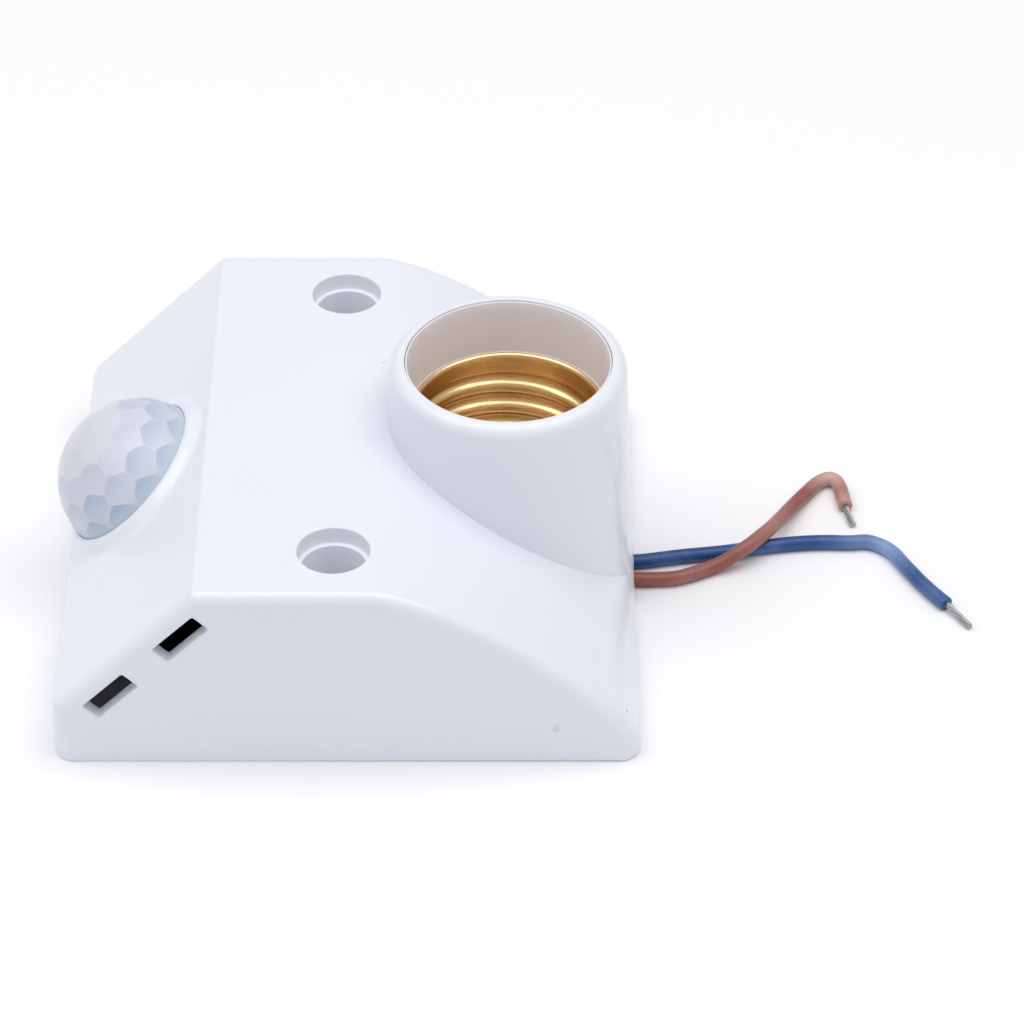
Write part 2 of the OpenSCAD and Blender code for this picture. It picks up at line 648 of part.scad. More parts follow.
// Height of the sensor board's back over a place on the main board
function under_sensor(x) =
    let (back = sensor_depth + board_t)
    slant_mid[1] - back * cos(slant_a) + (x - slant_mid[0] - back * sin(slant_a)) * slope;
module control_chip() {
    legs = 8;
    leg_pitch = 2.3;
    chip_w = 6.4;
    chip_d = legs * leg_pitch + 0.8;
    foot_h = 0.5;
    chip_x = board_x0 + 6;
    chip_top = under_sensor(chip_x - chip_w / 2 - 0.2) - 0.57 - board_top;
    color([0.12, 0.12, 0.13]) translate([chip_x, 0, board_top]) {
        translate([-chip_w / 2, -chip_d / 2, foot_h]) cube([chip_w, chip_d, chip_top - foot_h]);
        for (s = [-1, 1], i = [0:legs - 1])
            translate([s * (chip_w / 2 - 0.2) - 0.4, (i - (legs - 1) / 2) * leg_pitch - 0.25, 0])
                cube([0.8, 0.5, foot_h + 0.1]);
    }
}
// A round body lying between two bent leads that stand on the board
module axial(r, length) {
    lead = 0.5;
    lift = r + 0.4;
    translate([0, 0, lift]) rotate([90, 0, 0])
        translate([0, 0, -length / 2]) cylinder(r = r, h = length);
    for (s = [-1, 1]) translate([-lead / 2, s * (length / 2 + 1) - lead / 2, 0]) {
        cube([lead, lead, lift + lead / 2]);
        translate([0, -(1 + s) / 2, lift - lead / 2]) cube([lead, 1 + lead, lead]);
    }
}
// A round body standing on one lead, with the other bent over and down beside it
module standing(r, length, reach) {
    lead = 0.5;
    foot = 0.6;
    bar(r, foot, foot + length);
    translate([-lead / 2, -lead / 2, 0]) cube([lead, lead, foot + lead]);
    translate([-lead / 2, -lead / 2, foot + length - eps]) cube([lead, reach + lead, lead + eps]);
    translate([-lead / 2, reach - lead / 2, 0]) cube([lead, lead, foot + length + lead]);
}
module rectifier_diodes() {
    color([0.12, 0.12, 0.13]) for (i = [0:3])
        translate([board_x0 + 11.2, (i - 1.5) * diode_pitch, board_top]) axial(1.1, 4.4);
}
module resistors() {
    color([0.8, 0.7, 0.5]) for (i = [0:2])
        translate([board_x0 + 14.6, (i - 0.45) * 3.3, board_top]) standing(0.9, 4, 1.5);
}
module voltage_regulator() {
    color([0.12, 0.12, 0.13]) translate([board_x0 + 14.9, board_d / 2 - 3.2, board_top]) difference() {
        bar(2.3, 0, 6);
        translate([0.9, -3, -1]) cube([3, 6, 8]);
    }
}
module fusible_resistor() {
    color([0.35, 0.55, 0.4]) translate([tall_x + tall_w * 0.6, -1.2, board_top])
        standing(1.5, 6, 2.2);
}

module live_lead() { color([0.75, 0.15, 0.15]) tube(live_route, lead_d); }
module neutral_lead() { color([0.2, 0.2, 0.22]) tube(neutral_route, lead_d); }
module brown_wire() { color([0.66, 0.42, 0.37]) tube(brown_route, wire_d); }
module blue_wire() { color([0.17, 0.36, 0.62]) tube(blue_route, wire_d); }
module brown_wire_end() { color([0.72, 0.72, 0.72]) tube(brown_end_route, strand_d); }
module blue_wire_end() { color([0.72, 0.72, 0.72]) tube(blue_end_route, strand_d); }

housing();
base_plate();
base_screws();
socket_liner();
socket_screws();
screw_shell();
shell_contact();
centre_contact();
contact_rivets();
lens();
lens_ring();
sensor_board();
sensor_screws();
sensor_pins();
motion_sensor();
light_sensor();
main_board();
board_screws();
relay();
dropper_capacitor();
smoothing_capacitor();
control_chip();
rectifier_diodes();
resistors();
voltage_regulator();
fusible_resistor();
solder_tags();
live_lead();
neutral_lead();
brown_wire();
blue_wire();
brown_wire_end();
blue_wire_end();
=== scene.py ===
import json
import math

import bmesh
import bpy
import numpy as np
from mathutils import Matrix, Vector


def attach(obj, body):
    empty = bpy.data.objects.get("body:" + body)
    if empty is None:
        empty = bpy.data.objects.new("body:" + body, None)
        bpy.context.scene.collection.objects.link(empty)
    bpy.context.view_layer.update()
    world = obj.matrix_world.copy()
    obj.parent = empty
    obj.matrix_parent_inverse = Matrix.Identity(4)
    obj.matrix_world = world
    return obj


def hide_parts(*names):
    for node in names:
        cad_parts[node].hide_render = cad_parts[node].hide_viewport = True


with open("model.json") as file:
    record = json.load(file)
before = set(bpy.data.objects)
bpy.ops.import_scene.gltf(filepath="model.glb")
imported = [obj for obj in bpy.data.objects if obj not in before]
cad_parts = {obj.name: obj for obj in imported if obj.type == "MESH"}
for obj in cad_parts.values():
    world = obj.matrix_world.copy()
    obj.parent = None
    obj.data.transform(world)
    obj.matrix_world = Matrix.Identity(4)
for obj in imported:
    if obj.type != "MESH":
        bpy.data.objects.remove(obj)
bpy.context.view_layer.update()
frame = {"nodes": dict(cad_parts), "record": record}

mm = 0.001


photoView = {
    "place": (0.022498, -0.483389, 0.388812),
    "lookDown": 37.929,      # degrees under the horizon
    "lens": 151.55,          # mm on a 36 mm wide sensor
}


def makeCamera(v):
    data = bpy.data.cameras.new("photoCamera")
    data.lens = v["lens"]
    data.sensor_width = 36
    data.clip_start = 0.01
    camera = bpy.data.objects.new("photoCamera", data)
    camera.location = v["place"]
    camera.rotation_euler = (math.radians(90 - v["lookDown"]), 0, 0)
    bpy.context.scene.collection.objects.link(camera)
    bpy.context.scene.camera = camera


makeCamera(photoView)
print("camera placed")


def linearColour(code, alpha=1.0):                 # sRGB hex to linear
    parts = [int(code[i:i + 2], 16) / 255 for i in (1, 3, 5)]
    return tuple(c / 12.92 if c <= 0.04045 else ((c + 0.055) / 1.055) ** 2.4 for c in parts) + (alpha,)


def addNode(tree, kind, settings=None, **sockets):
    # sockets are given by name with spaces left out; a (node, output) pair is linked, anything else is a value
    node = tree.nodes.new(kind)
    for key, value in (settings or {}).items():
        setattr(node, key, value)
    for key, value in sockets.items():
        names = {s.name.replace(" ", ""): s for s in node.inputs if s.enabled}
        target = node.inputs[int(key[1:])] if key[0] == "i" and key[1:].isdigit() else names[key]
        if isinstance(value, tuple) and isinstance(value[0], bpy.types.Node):
            tree.links.new(value[0].outputs[value[1]], target)
        else:
            target.default_value = value
    return node


def newMaterial(name, **shader):
    material = bpy.data.materials.new(name)
    material.use_nodes = True
    tree = material.node_tree
    tree.nodes.clear()
    out = tree.nodes.new("ShaderNodeOutputMaterial")
    surface = addNode(tree, "ShaderNodeBsdfPrincipled", **shader)
    tree.links.new(surface.outputs[0], out.inputs[0])
    return material, tree, surface


def makeObject(name, points, faces, material=None, smooth=35, scale=mm):
    mesh = bpy.data.meshes.new(name)
    mesh.from_pydata([tuple(c * scale for c in p) for p in points], [], [tuple(f) for f in faces])
    mesh.update()
    thing = bpy.data.objects.new(name, mesh)
    bpy.context.scene.collection.objects.link(thing)
    if material:
        mesh.materials.append(material)
    if smooth:
        mesh.shade_smooth()
        mesh.set_sharp_from_angle(angle=math.radians(smooth))
    return thing


def spun(profile, steps=96, centre=(0, 0), start=0):
    # closed ring of a profile of (r, z) points; r of 0 becomes a pole
    points, faces, rings = [], [], []
    for r, z in profile:
        if r < 1e-6:
            rings.append([len(points)])
            points.append((centre[0], centre[1], z))
        else:
            rings.append(list(range(len(points), len(points) + steps)))
            points += [(centre[0] + r * math.cos(start + 2 * math.pi * k / steps),
                        centre[1] + r * math.sin(start + 2 * math.pi * k / steps), z) for k in range(steps)]
    for a, b in zip(rings, rings[1:] + rings[:1]):
        if len(a) == 1 and len(b) == 1:
            continue
        for k in range(steps):
            n = (k + 1) % steps
            if len(a) == 1:
                faces.append((a[0], b[n], b[k]))
            elif len(b) == 1:
                faces.append((a[k], a[n], b[0]))
            else:
                faces.append((a[k], a[n], b[n], b[k]))
    return points, faces


def arcPoints(centre, r, a0, a1, n):
    return [(centre[0] + r * math.cos(math.radians(a0 + (a1 - a0) * i / n)),
             centre[1] + r * math.sin(math.radians(a0 + (a1 - a0) * i / n))) for i in range(n + 1)]


slantMiddle = Vector((-30, 0, 19))
slantUp = Vector((1, 0, 1)).normalized()
slantOut = Vector((-1, 0, 1)).normalized()


def onSlant(p):
    return tuple(slantMiddle + slantUp * p[0] + Vector((0, p[1], 0)) + slantOut * p[2])


def facingOut(thing):
    mesh = bmesh.new()
    mesh.from_mesh(thing.data)
    bmesh.ops.remove_doubles(mesh, verts=mesh.verts, dist=1e-7)
    bmesh.ops.recalc_face_normals(mesh, faces=mesh.faces)
    mesh.to_mesh(thing.data)
    mesh.free()
    return thing


def carve(base, tool, how):
    step = base.modifiers.new("carve", "BOOLEAN")
    step.solver = "EXACT"
    step.operation = how
    step.object = tool
    done = bpy.data.meshes.new_from_object(base.evaluated_get(bpy.context.evaluated_depsgraph_get()))
    base.modifiers.clear()
    old = base.data
    base.data = done
    bpy.data.meshes.remove(old)
    bpy.data.objects.remove(tool)
    return base


def evenShade(thing, sharp):
    # smooth fillets beside flat walls: each corner's normal follows the larger faces
    thing.data.shade_smooth()
    thing.data.set_sharp_from_angle(angle=math.radians(sharp))
    even = thing.modifiers.new("evenShade", "WEIGHTED_NORMAL")
    even.keep_sharp = True
    even.weight = 60
    return plainMesh(thing)


def plainMesh(thing):
    # the evaluated result of its modifiers becomes its own mesh
    done = bpy.data.meshes.new_from_object(thing.evaluated_get(bpy.context.evaluated_depsgraph_get()))
    thing.modifiers.clear()
    thing.data = done
    return thing


absMarks = [                   # place (mm), radius (mm), strength
    ((4.3, 13.0, 29.0), 0.22, 0.55), ((38.3, -37.0, 6.6), 0.3, 0.9), ((28.5, -40.0, 5.9), 0.7, 0.16), ((28.6, -40.0, 6.7), 0.5, 0.12),
]


def glossyAbs():
    # ABS, injection moulded and polished: bright, slightly blue white with soft wide highlights
    material, tree, surface = newMaterial("abs_moulded_white", Roughness=0.2, IOR=1.52)
    place = addNode(tree, "ShaderNodeTexCoord")
    # flow of the melt: shade drifts by a hair over 25 mm
    drift = addNode(tree, "ShaderNodeTexNoise", Vector=(place, "Object"), Scale=40.0, Detail=2.0)
    tone = addNode(tree, "ShaderNodeMix", {"data_type": "RGBA"}, Factor=(drift, "Fac"))
    tone.inputs[6].default_value = linearColour("#e9ebf5")
    tone.inputs[7].default_value = linearColour("#ebeef7")
    # dust specks, about one each 20 mm, 0.2 mm across
    dust = addNode(tree, "ShaderNodeTexVoronoi", Vector=(place, "Object"), Scale=55.0)
    speck = addNode(tree, "ShaderNodeMath", {"operation": "LESS_THAN"}, i0=(dust, "Distance"), i1=0.009)
    # two dirt specks and a faint smudge
    soil = addNode(tree, "ShaderNodeMath", {"operation": "MULTIPLY"}, i0=(speck, 0), i1=0.5)
    for where, radius, strength in absMarks:
        away = addNode(tree, "ShaderNodeVectorMath", {"operation": "DISTANCE"}, i0=(place, "Object"), i1=tuple(c * mm for c in where))
        mark = addNode(tree, "ShaderNodeMapRange", Value=(away, "Value"), FromMin=radius * mm, FromMax=radius * 0.5 * mm, ToMax=strength)
        soil = addNode(tree, "ShaderNodeMath", {"operation": "MAXIMUM"}, i0=(soil, 0), i1=(mark, 0))
    toned = addNode(tree, "ShaderNodeMix", {"data_type": "RGBA"}, Factor=(soil, 0))
    tree.links.new(tone.outputs[2], toned.inputs[6])
    toned.inputs[7].default_value = linearColour("#5f5a5c")
    # painted light: faces inside the wells and slots are painted paler, lifting the shade that falls in these
    # recesses, and are made matt
    inRecess = addNode(tree, "ShaderNodeAttribute", {"attribute_name": "unpolished"})
    recessLightened = addNode(tree, "ShaderNodeMix", {"data_type": "RGBA"}, Factor=(inRecess, "Fac"))
    tree.links.new(toned.outputs[2], recessLightened.inputs[6])
    recessLightened.inputs[7].default_value = linearColour("#f5f8ff")
    tree.links.new(recessLightened.outputs[2], surface.inputs["Base Color"])
    dull = addNode(tree, "ShaderNodeMapRange", Value=(inRecess, "Fac"), ToMin=0.2, ToMax=0.5)
    tree.links.new(dull.outputs[0], surface.inputs["Roughness"])
    # sink marks: the polished wall waves by microns over 12 mm
    wave = addNode(tree, "ShaderNodeTexNoise", Vector=(place, "Object"), Scale=80.0, Detail=1.0)
    bump = addNode(tree, "ShaderNodeBump", Strength=0.06, Distance=0.0004, Height=(wave, "Fac"))
    tree.links.new(bump.outputs[0], surface.inputs["Normal"])
    return material


def linerResin():
    # urea resin, compression moulded: pinkish grey, half matt, fine mottling
    material, tree, surface = newMaterial("urea_resin_moulded", Roughness=0.42, IOR=1.55)
    place = addNode(tree, "ShaderNodeTexCoord")
    mottle = addNode(tree, "ShaderNodeTexNoise", Vector=(place, "Object"), Scale=350.0, Detail=3.0)
    tone = addNode(tree, "ShaderNodeMix", {"data_type": "RGBA"}, Factor=(mottle, "Fac"))
    tone.inputs[6].default_value = linearColour("#f6f1f4")
    tone.inputs[7].default_value = linearColour("#fbf7fa")
    tree.links.new(tone.outputs[2], surface.inputs["Base Color"])
    return material


def pressedBrass(name="brass_pressed", light="#f3d6a2", dark="#e4bf86"):
    # brass sheet, pressed and left bare: warm, streaked round the socket, lightly tarnished
    material, tree, surface = newMaterial(name, Metallic=1.0, Roughness=0.26)
    place = addNode(tree, "ShaderNodeTexCoord")
    tarnish = addNode(tree, "ShaderNodeTexNoise", Vector=(place, "Object"), Scale=260.0, Detail=4.0)
    tone = addNode(tree, "ShaderNodeMix", {"data_type": "RGBA"}, Factor=(tarnish, "Fac"))
    tone.inputs[6].default_value = linearColour(dark)
    tone.inputs[7].default_value = linearColour(light)
    tree.links.new(tone.outputs[2], surface.inputs["Base Color"])
    # drawing lines, 0.15 mm apart, run round the shell
    stretch = addNode(tree, "ShaderNodeMapping", Vector=(place, "Object"))
    stretch.inputs["Scale"].default_value = (150, 150, 6000)
    line = addNode(tree, "ShaderNodeTexNoise", Vector=(stretch, 0), Scale=1.0, Detail=2.0)
    bump = addNode(tree, "ShaderNodeBump", Strength=0.15, Distance=0.0001, Height=(line, "Fac"))
    tree.links.new(bump.outputs[0], surface.inputs["Normal"])
    return material


def lensPlastic():
    # polyethylene, injection moulded: milky, with painted shade in its colour: each facet is painted darker at its
    # side next to the dome's top, where its dished face leans away from the light, and the facets are darker towards
    # the dome's foot
    material, tree, surface = newMaterial("polyethylene_moulded_milky", Roughness=0.28, IOR=1.5)
    facet = addNode(tree, "ShaderNodeAttribute", {"attribute_name": "facetTone"})
    place = addNode(tree, "ShaderNodeTexCoord")
    cloud = addNode(tree, "ShaderNodeTexNoise", Vector=(place, "Object"), Scale=220.0, Detail=2.0)
    stirred = addNode(tree, "ShaderNodeMix", {"data_type": "RGBA", "blend_type": "OVERLAY"}, Factor=0.12)
    tree.links.new(facet.outputs["Color"], stirred.inputs[6])
    tree.links.new(cloud.outputs["Fac"], stirred.inputs[7])
    tree.links.new(stirred.outputs[2], surface.inputs["Base Color"])
    surface.inputs["Subsurface Weight"].default_value = 0.15
    surface.inputs["Subsurface Radius"].default_value = (0.001, 0.0011, 0.0013)
    surface.inputs["Subsurface Scale"].default_value = 0.5
    return material


def wireSkin(name, base, worn):
    # PVC, extruded over the strands: satin, dulled where it has been bent and handled
    material, tree, surface = newMaterial(name, Roughness=0.4, IOR=1.53)
    place = addNode(tree, "ShaderNodeTexCoord")
    rub = addNode(tree, "ShaderNodeTexNoise", Vector=(place, "Object"), Scale=120.0, Detail=3.0)
    ramp = addNode(tree, "ShaderNodeMapRange", Value=(rub, "Fac"), FromMin=0.45, FromMax=0.7)
    worn2 = addNode(tree, "ShaderNodeAttribute", {"attribute_name": "faded"})
    both = addNode(tree, "ShaderNodeMath", {"operation": "MAXIMUM"}, i0=(worn2, "Fac"))
    some = addNode(tree, "ShaderNodeMath", {"operation": "MULTIPLY"}, i0=(ramp, 0), i1=0.3)
    tree.links.new(some.outputs[0], both.inputs[1])
    tone = addNode(tree, "ShaderNodeMix", {"data_type": "RGBA"}, Factor=(both, 0))
    tone.inputs[6].default_value = linearColour(base)
    tone.inputs[7].default_value = linearColour(worn)
    tree.links.new(tone.outputs[2], surface.inputs["Base Color"])
    grain = addNode(tree, "ShaderNodeTexNoise", Vector=(place, "Object"), Scale=1800.0, Detail=2.0)
    bump = addNode(tree, "ShaderNodeBump", Strength=0.12, Distance=0.0001, Height=(grain, "Fac"))
    tree.links.new(bump.outputs[0], surface.inputs["Normal"])
    return material


def plainFinish(name, first, second, roughness, metallic=0.0, size=2.0, relief=0.05):
    # mottled finish for a hidden piece: size is the mottling's in mm
    material, tree, surface = newMaterial(name, Roughness=roughness, Metallic=metallic)
    place = addNode(tree, "ShaderNodeTexCoord")
    mottle = addNode(tree, "ShaderNodeTexNoise", Vector=(place, "Object"), Scale=1000.0 / size, Detail=3.0)
    tone = addNode(tree, "ShaderNodeMix", {"data_type": "RGBA"}, Factor=(mottle, "Fac"))
    tone.inputs[6].default_value = linearColour(first)
    tone.inputs[7].default_value = linearColour(second)
    tree.links.new(tone.outputs[2], surface.inputs["Base Color"])
    bump = addNode(tree, "ShaderNodeBump", Strength=relief, Distance=0.0002, Height=(mottle, "Fac"))
    tree.links.new(bump.outputs[0], surface.inputs["Normal"])
    return material


absWhite = glossyAbs()
resinLiner = linerResin()
brass = pressedBrass()
bronze = pressedBrass("bronze_spring_strip", "#e0b07c", "#b9835a")
milkyLens = lensPlastic()
brownSkin = wireSkin("pvc_extruded_brown", "#925147", "#d9b5ac")
blueSkin = wireSkin("pvc_extruded_blue", "#184786", "#8fa9d6")
tinned = plainFinish("copper_tinned", "#8f9092", "#c9c9c8", 0.32, 1.0, 0.8, 0.2)      # dipped in solder: lumpy and bright
zincSteel = plainFinish("steel_zinc_plated", "#9a9da1", "#c3c5c9", 0.3, 1.0, 1.5)     # barrel plated: grey with a soft shine
print("materials made")


wireSizes = {
    "diameter": 2.1,
    "sides": 20,
    "step": 0.6,             # between rings, mm
    "lip": 0.12,             # rounding of the cut end, mm
    "strands": 7,
    "strandWidth": 0.32,
    "twist": 0.45,           # turns of the strands over the bare end
}
brownRoute = [
    (17, -19.5, 3.5), (19.5, -19.5, 3.5), (22, -19, 3.5), (24.5, -17.7, 3.5), (27, -15.5, 3.5),
    (29.2, -12.8, 3.5), (31, -9.8, 3.5), (32.8, -6.8, 3.4), (34.5, -4.2, 2.8), (36.5, -2.5, 1.9),
    (38.5, -1.7, 1.25), (40.5, -1.5, 1.06), (43, -1.5, 1.06), (46, -1.2, 1.06), (48.6, -0.2, 1.1),
    (50.9, 1, 1.15), (53.3, 1.95, 1.75), (55.3, 2.75, 2.75), (57.2, 4.2, 3.25), (58.7, 5.95, 3.32),
    (60.1, 7.9, 3.15), (61.8, 11.2, 2.45), (63.7, 15.1, 1.6), (65.6, 18.4, 1.13), (67.3, 20.8, 1.07),
    (68.5, 21.9, 1.06), (69.6, 22.2, 1.06), (70.4, 21.5, 1.06), (70.8, 20.2, 1.06),
    (71.1, 18, 1.06), (71.4, 15.5, 1.06)]
brownEndRoute = [(71.4, 15.5, 1.06), (71.46, 15, 1.06), (71.6, 14.3, 0.9), (71.9, 13, 0.72), (72.3, 11.7, 0.55)]
blueRoute = [
    (17, 19.5, 3.5), (19.5, 19.5, 3.5), (22, 19.1, 3.5), (24.6, 18, 3.5), (27, 16, 3.5),
    (29.2, 13.2, 3.5), (31, 10.2, 3.5), (32.8, 7.2, 3.4), (34.5, 4.9, 2.8), (36.5, 3.3, 1.9),
    (38.5, 2.7, 1.25), (40.5, 2.6, 1.06), (43.5, 3.1, 1.06), (47, 3.8, 1.06), (50.5, 4.3, 1.06),
    (54, 4.9, 1.06), (57.4, 5.7, 1.06), (61, 6.4, 1.06), (64.5, 6.9, 1.06), (68, 7.1, 1.06),
    (71.5, 7, 1.06), (74, 7.2, 1.06), (76, 6.2, 1.06), (77.5, 4.7, 1.06), (79, 1.8, 1.06),
    (80.9, -1.8, 1.06), (82.6, -4.6, 1.06), (84.4, -7.2, 1.06)]
blueEndRoute = [(84.4, -7.2, 1.06), (84.7, -7.65, 1.06), (85.4, -8.6, 0.9), (86.4, -10.1, 0.72), (87.4, -11.6, 0.55)]


def smoothPath(route, step):
    # Catmull-Rom line through the route, cut into even steps
    p = [Vector(q) for q in route]
    p = [p[0] * 2 - p[1]] + p + [p[-1] * 2 - p[-2]]
    fine = []
    for a, b, c, d in zip(p, p[1:], p[2:], p[3:]):
        for i in range(12):
            t = i / 12
            fine.append(0.5 * (2 * b + (c - a) * t + (2 * a - 5 * b + 4 * c - d) * t * t
                               + (3 * b - a - 3 * c + d) * t ** 3))
    fine.append(p[-2].copy())
    run = [0.0]
    for a, b in zip(fine, fine[1:]):
        run.append(run[-1] + (b - a).length)
    count = max(2, round(run[-1] / step))
    even, j = [], 0
    for i in range(count + 1):
        s = run[-1] * i / count
        while j < len(fine) - 2 and run[j + 1] < s:
            j += 1
        t = (s - run[j]) / max(run[j + 1] - run[j], 1e-9)
        even.append(fine[j].lerp(fine[j + 1], min(t, 1)))
    return even, run[-1]


def makeTube(name, path, radii, sides, material, faded=None):
    points, faces = [], []
    for i, p in enumerate(path):
        ahead = (path[min(i + 1, len(path) - 1)] - path[max(i - 1, 0)]).normalized()
        side = ahead.cross(Vector((0, 0, 1))).normalized()
        top = side.cross(ahead)
        for k in range(sides):
            a = 2 * math.pi * k / sides
            points.append(tuple(p + radii[i] * (math.cos(a) * side + math.sin(a) * top)))
    for i in range(len(path) - 1):
        for k in range(sides):
            n = (k + 1) % sides
            faces.append((i * sides + k, i * sides + n, (i + 1) * sides + n, (i + 1) * sides + k))
    faces.append(tuple(range(sides - 1, -1, -1)))
    faces.append(tuple((len(path) - 1) * sides + k for k in range(sides)))
    tube = facingOut(makeObject(name, points, faces, material, 0))
    tube.data.shade_smooth()
    tube.data.set_sharp_from_angle(angle=math.radians(50))
    if faded:
        layer = tube.data.attributes.new("faded", "FLOAT", "POINT")
        for v, value in zip(tube.data.vertices, layer.data):
            near = [s * max(0.0, 1 - (v.co / mm - Vector(c)).length / r) ** 1.5 for c, r, s in faded]
            value.value = min(1.0, max(near))
    return tube


def makeWire(name, node, route, material, faded):
    v = wireSizes
    path, length = smoothPath(route, v["step"])
    r = v["diameter"] / 2
    ahead = (path[-1] - path[-2]).normalized()
    rings = path[:-1] + [path[-1] - ahead * v["lip"], path[-1] - ahead * v["lip"] * 0.3, path[-1]]
    radii = [r] * len(path) + [r - v["lip"] * 0.3, r - v["lip"]]
    wire = makeTube(name, rings, radii, v["sides"], material, faded)
    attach(wire, "root")
    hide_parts(node)
    return wire, path, length


def strandTree():
    # strands laid round the middle line of the bare end
    tree = bpy.data.node_groups.new("tinnedStrands", "GeometryNodeTree")
    face = tree.interface
    face.new_socket("Geometry", in_out="INPUT", socket_type="NodeSocketGeometry")
    for label, kind in (("Strands", "NodeSocketInt"), ("Strand Radius", "NodeSocketFloat"),
                        ("Turns", "NodeSocketFloat"), ("Finish", "NodeSocketMaterial")):
        face.new_socket(label, in_out="INPUT", socket_type=kind)
    face.new_socket("Geometry", in_out="OUTPUT", socket_type="NodeSocketGeometry")
    given = addNode(tree, "NodeGroupInput")
    fine = addNode(tree, "GeometryNodeResampleCurve", Curve=(given, "Geometry"), Count=40)
    # one copy of the line for each strand
    copies = addNode(tree, "GeometryNodeDuplicateElements", {"domain": "SPLINE"}, Geometry=(fine, 0))
    tree.links.new(given.outputs["Strands"], copies.inputs["Amount"])
    along = addNode(tree, "GeometryNodeSplineParameter")
    turn = addNode(tree, "ShaderNodeMath", {"operation": "MULTIPLY"}, i0=(along, "Factor"), i1=(given, "Turns"))
    lot = addNode(tree, "ShaderNodeMath", {"operation": "SUBTRACT"}, i0=(given, "Strands"), i1=1.0)
    share = addNode(tree, "ShaderNodeMath", {"operation": "DIVIDE"}, i0=(copies, "Duplicate Index"), i1=(lot, 0))
    both = addNode(tree, "ShaderNodeMath", {"operation": "ADD"}, i0=(turn, 0), i1=(share, 0))
    angle = addNode(tree, "ShaderNodeMath", {"operation": "MULTIPLY"}, i0=(both, 0), i1=2 * math.pi)
    # the last copy stays in the middle
    outer = addNode(tree, "ShaderNodeMath", {"operation": "LESS_THAN"}, i0=(copies, "Duplicate Index"), i1=(lot, 0))
    reach = addNode(tree, "ShaderNodeMath", {"operation": "MULTIPLY"}, i0=(outer, 0), i1=(given, "Strand Radius"))
    reach2 = addNode(tree, "ShaderNodeMath", {"operation": "MULTIPLY"}, i0=(reach, 0), i1=1.85)
    sine = addNode(tree, "ShaderNodeMath", {"operation": "SINE"}, i0=(angle, 0))
    cosine = addNode(tree, "ShaderNodeMath", {"operation": "COSINE"}, i0=(angle, 0))
    tangent = addNode(tree, "GeometryNodeInputTangent")
    side = addNode(tree, "ShaderNodeVectorMath", {"operation": "CROSS_PRODUCT"}, i0=(tangent, 0), i1=(0, 0, 1))
    across = addNode(tree, "ShaderNodeVectorMath", {"operation": "NORMALIZE"}, i0=(side, 0))
    top = addNode(tree, "ShaderNodeVectorMath", {"operation": "CROSS_PRODUCT"}, i0=(across, 0), i1=(tangent, 0))
    first = addNode(tree, "ShaderNodeVectorMath", {"operation": "SCALE"}, i0=(across, 0), Scale=(cosine, 0))
    second = addNode(tree, "ShaderNodeVectorMath", {"operation": "SCALE"}, i0=(top, 0), Scale=(sine, 0))
    total = addNode(tree, "ShaderNodeVectorMath", {"operation": "ADD"}, i0=(first, 0), i1=(second, 0))
    shift = addNode(tree, "ShaderNodeVectorMath", {"operation": "SCALE"}, i0=(total, 0), Scale=(reach2, 0))
    moved = addNode(tree, "GeometryNodeSetPosition", Geometry=(copies, "Geometry"), Offset=(shift, 0))
    round_ = addNode(tree, "GeometryNodeCurvePrimitiveCircle", Resolution=10, Radius=(given, "Strand Radius"))
    solid = addNode(tree, "GeometryNodeCurveToMesh", Curve=(moved, 0), FillCaps=True)
    tree.links.new(round_.outputs["Curve"], solid.inputs["Profile Curve"])
    real = addNode(tree, "GeometryNodeRealizeInstances", Geometry=(solid, 0))
    shaded = addNode(tree, "GeometryNodeSetShadeSmooth", Geometry=(real, 0))
    finish = addNode(tree, "GeometryNodeSetMaterial", Geometry=(shaded, 0), Material=(given, "Finish"))
    out = addNode(tree, "NodeGroupOutput")
    tree.links.new(finish.outputs[0], out.inputs[0])
    return tree


def grown(thing, tree, **values):
    # runs a node tree on a piece and keeps the result as its mesh
    step = thing.modifiers.new(tree.name, "NODES")
    step.node_group = tree
    ids = {s.name.replace(" ", ""): s.identifier for s in tree.interface.items_tree if s.in_out == "INPUT"}
    for key, value in values.items():
        step[ids[key]] = value
    done = bpy.data.meshes.new_from_object(thing.evaluated_get(bpy.context.evaluated_depsgraph_get()))
    result = bpy.data.objects.new(thing.name + "Made", done)
    bpy.context.scene.collection.objects.link(result)
    name = thing.name
    thing.modifiers.clear()
    bpy.data.objects.remove(thing)
    result.name = name
    done.name = name
    return result


def makeBareEnd(name, node, route, tree):
    v = wireSizes
    path, length = smoothPath(route, 0.3)
    curve = bpy.data.curves.new(name, "CURVE")
    curve.dimensions = "3D"
    line = curve.splines.new("POLY")
    line.points.add(len(path) - 1)
    for point, p in zip(line.points, path):
        point.co = (p.x * mm, p.y * mm, p.z * mm, 1)
    thing = bpy.data.objects.new(name, curve)
    bpy.context.scene.collection.objects.link(thing)
    end = grown(thing, tree, Strands=v["strands"], StrandRadius=v["strandWidth"] / 2 * mm, Turns=v["twist"], Finish=tinned)
    facingOut(end)
    end.data.shade_smooth()
    end.data.set_sharp_from_angle(angle=math.radians(50))
    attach(end, "root")
    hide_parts(node)
    return end


strands = strandTree()
brownEnd = makeBareEnd("brownBareEnd", "brown_wire_end", brownEndRoute, strands)
blueEnd = makeBareEnd("blueBareEnd", "blue_wire_end", blueEndRoute, strands)
brownWire, brownPath, brownLength = makeWire("brownWire", "brown_wire", brownRoute, brownSkin,
                                             [((69.5, 21.8, 1), 6.5, 1.0), ((71.3, 16, 1), 5.0, 0.75), ((60, 8, 3), 10.0, 0.3)])
blueWire, bluePath, blueLength = makeWire("blueWire", "blue_wire", blueRoute, blueSkin,
                                          [((77, 5.2, 1), 9.0, 0.9), ((73, 7, 1), 7.0, 0.5), ((83, -5, 1), 6.0, 0.25)])
print("wires laid")


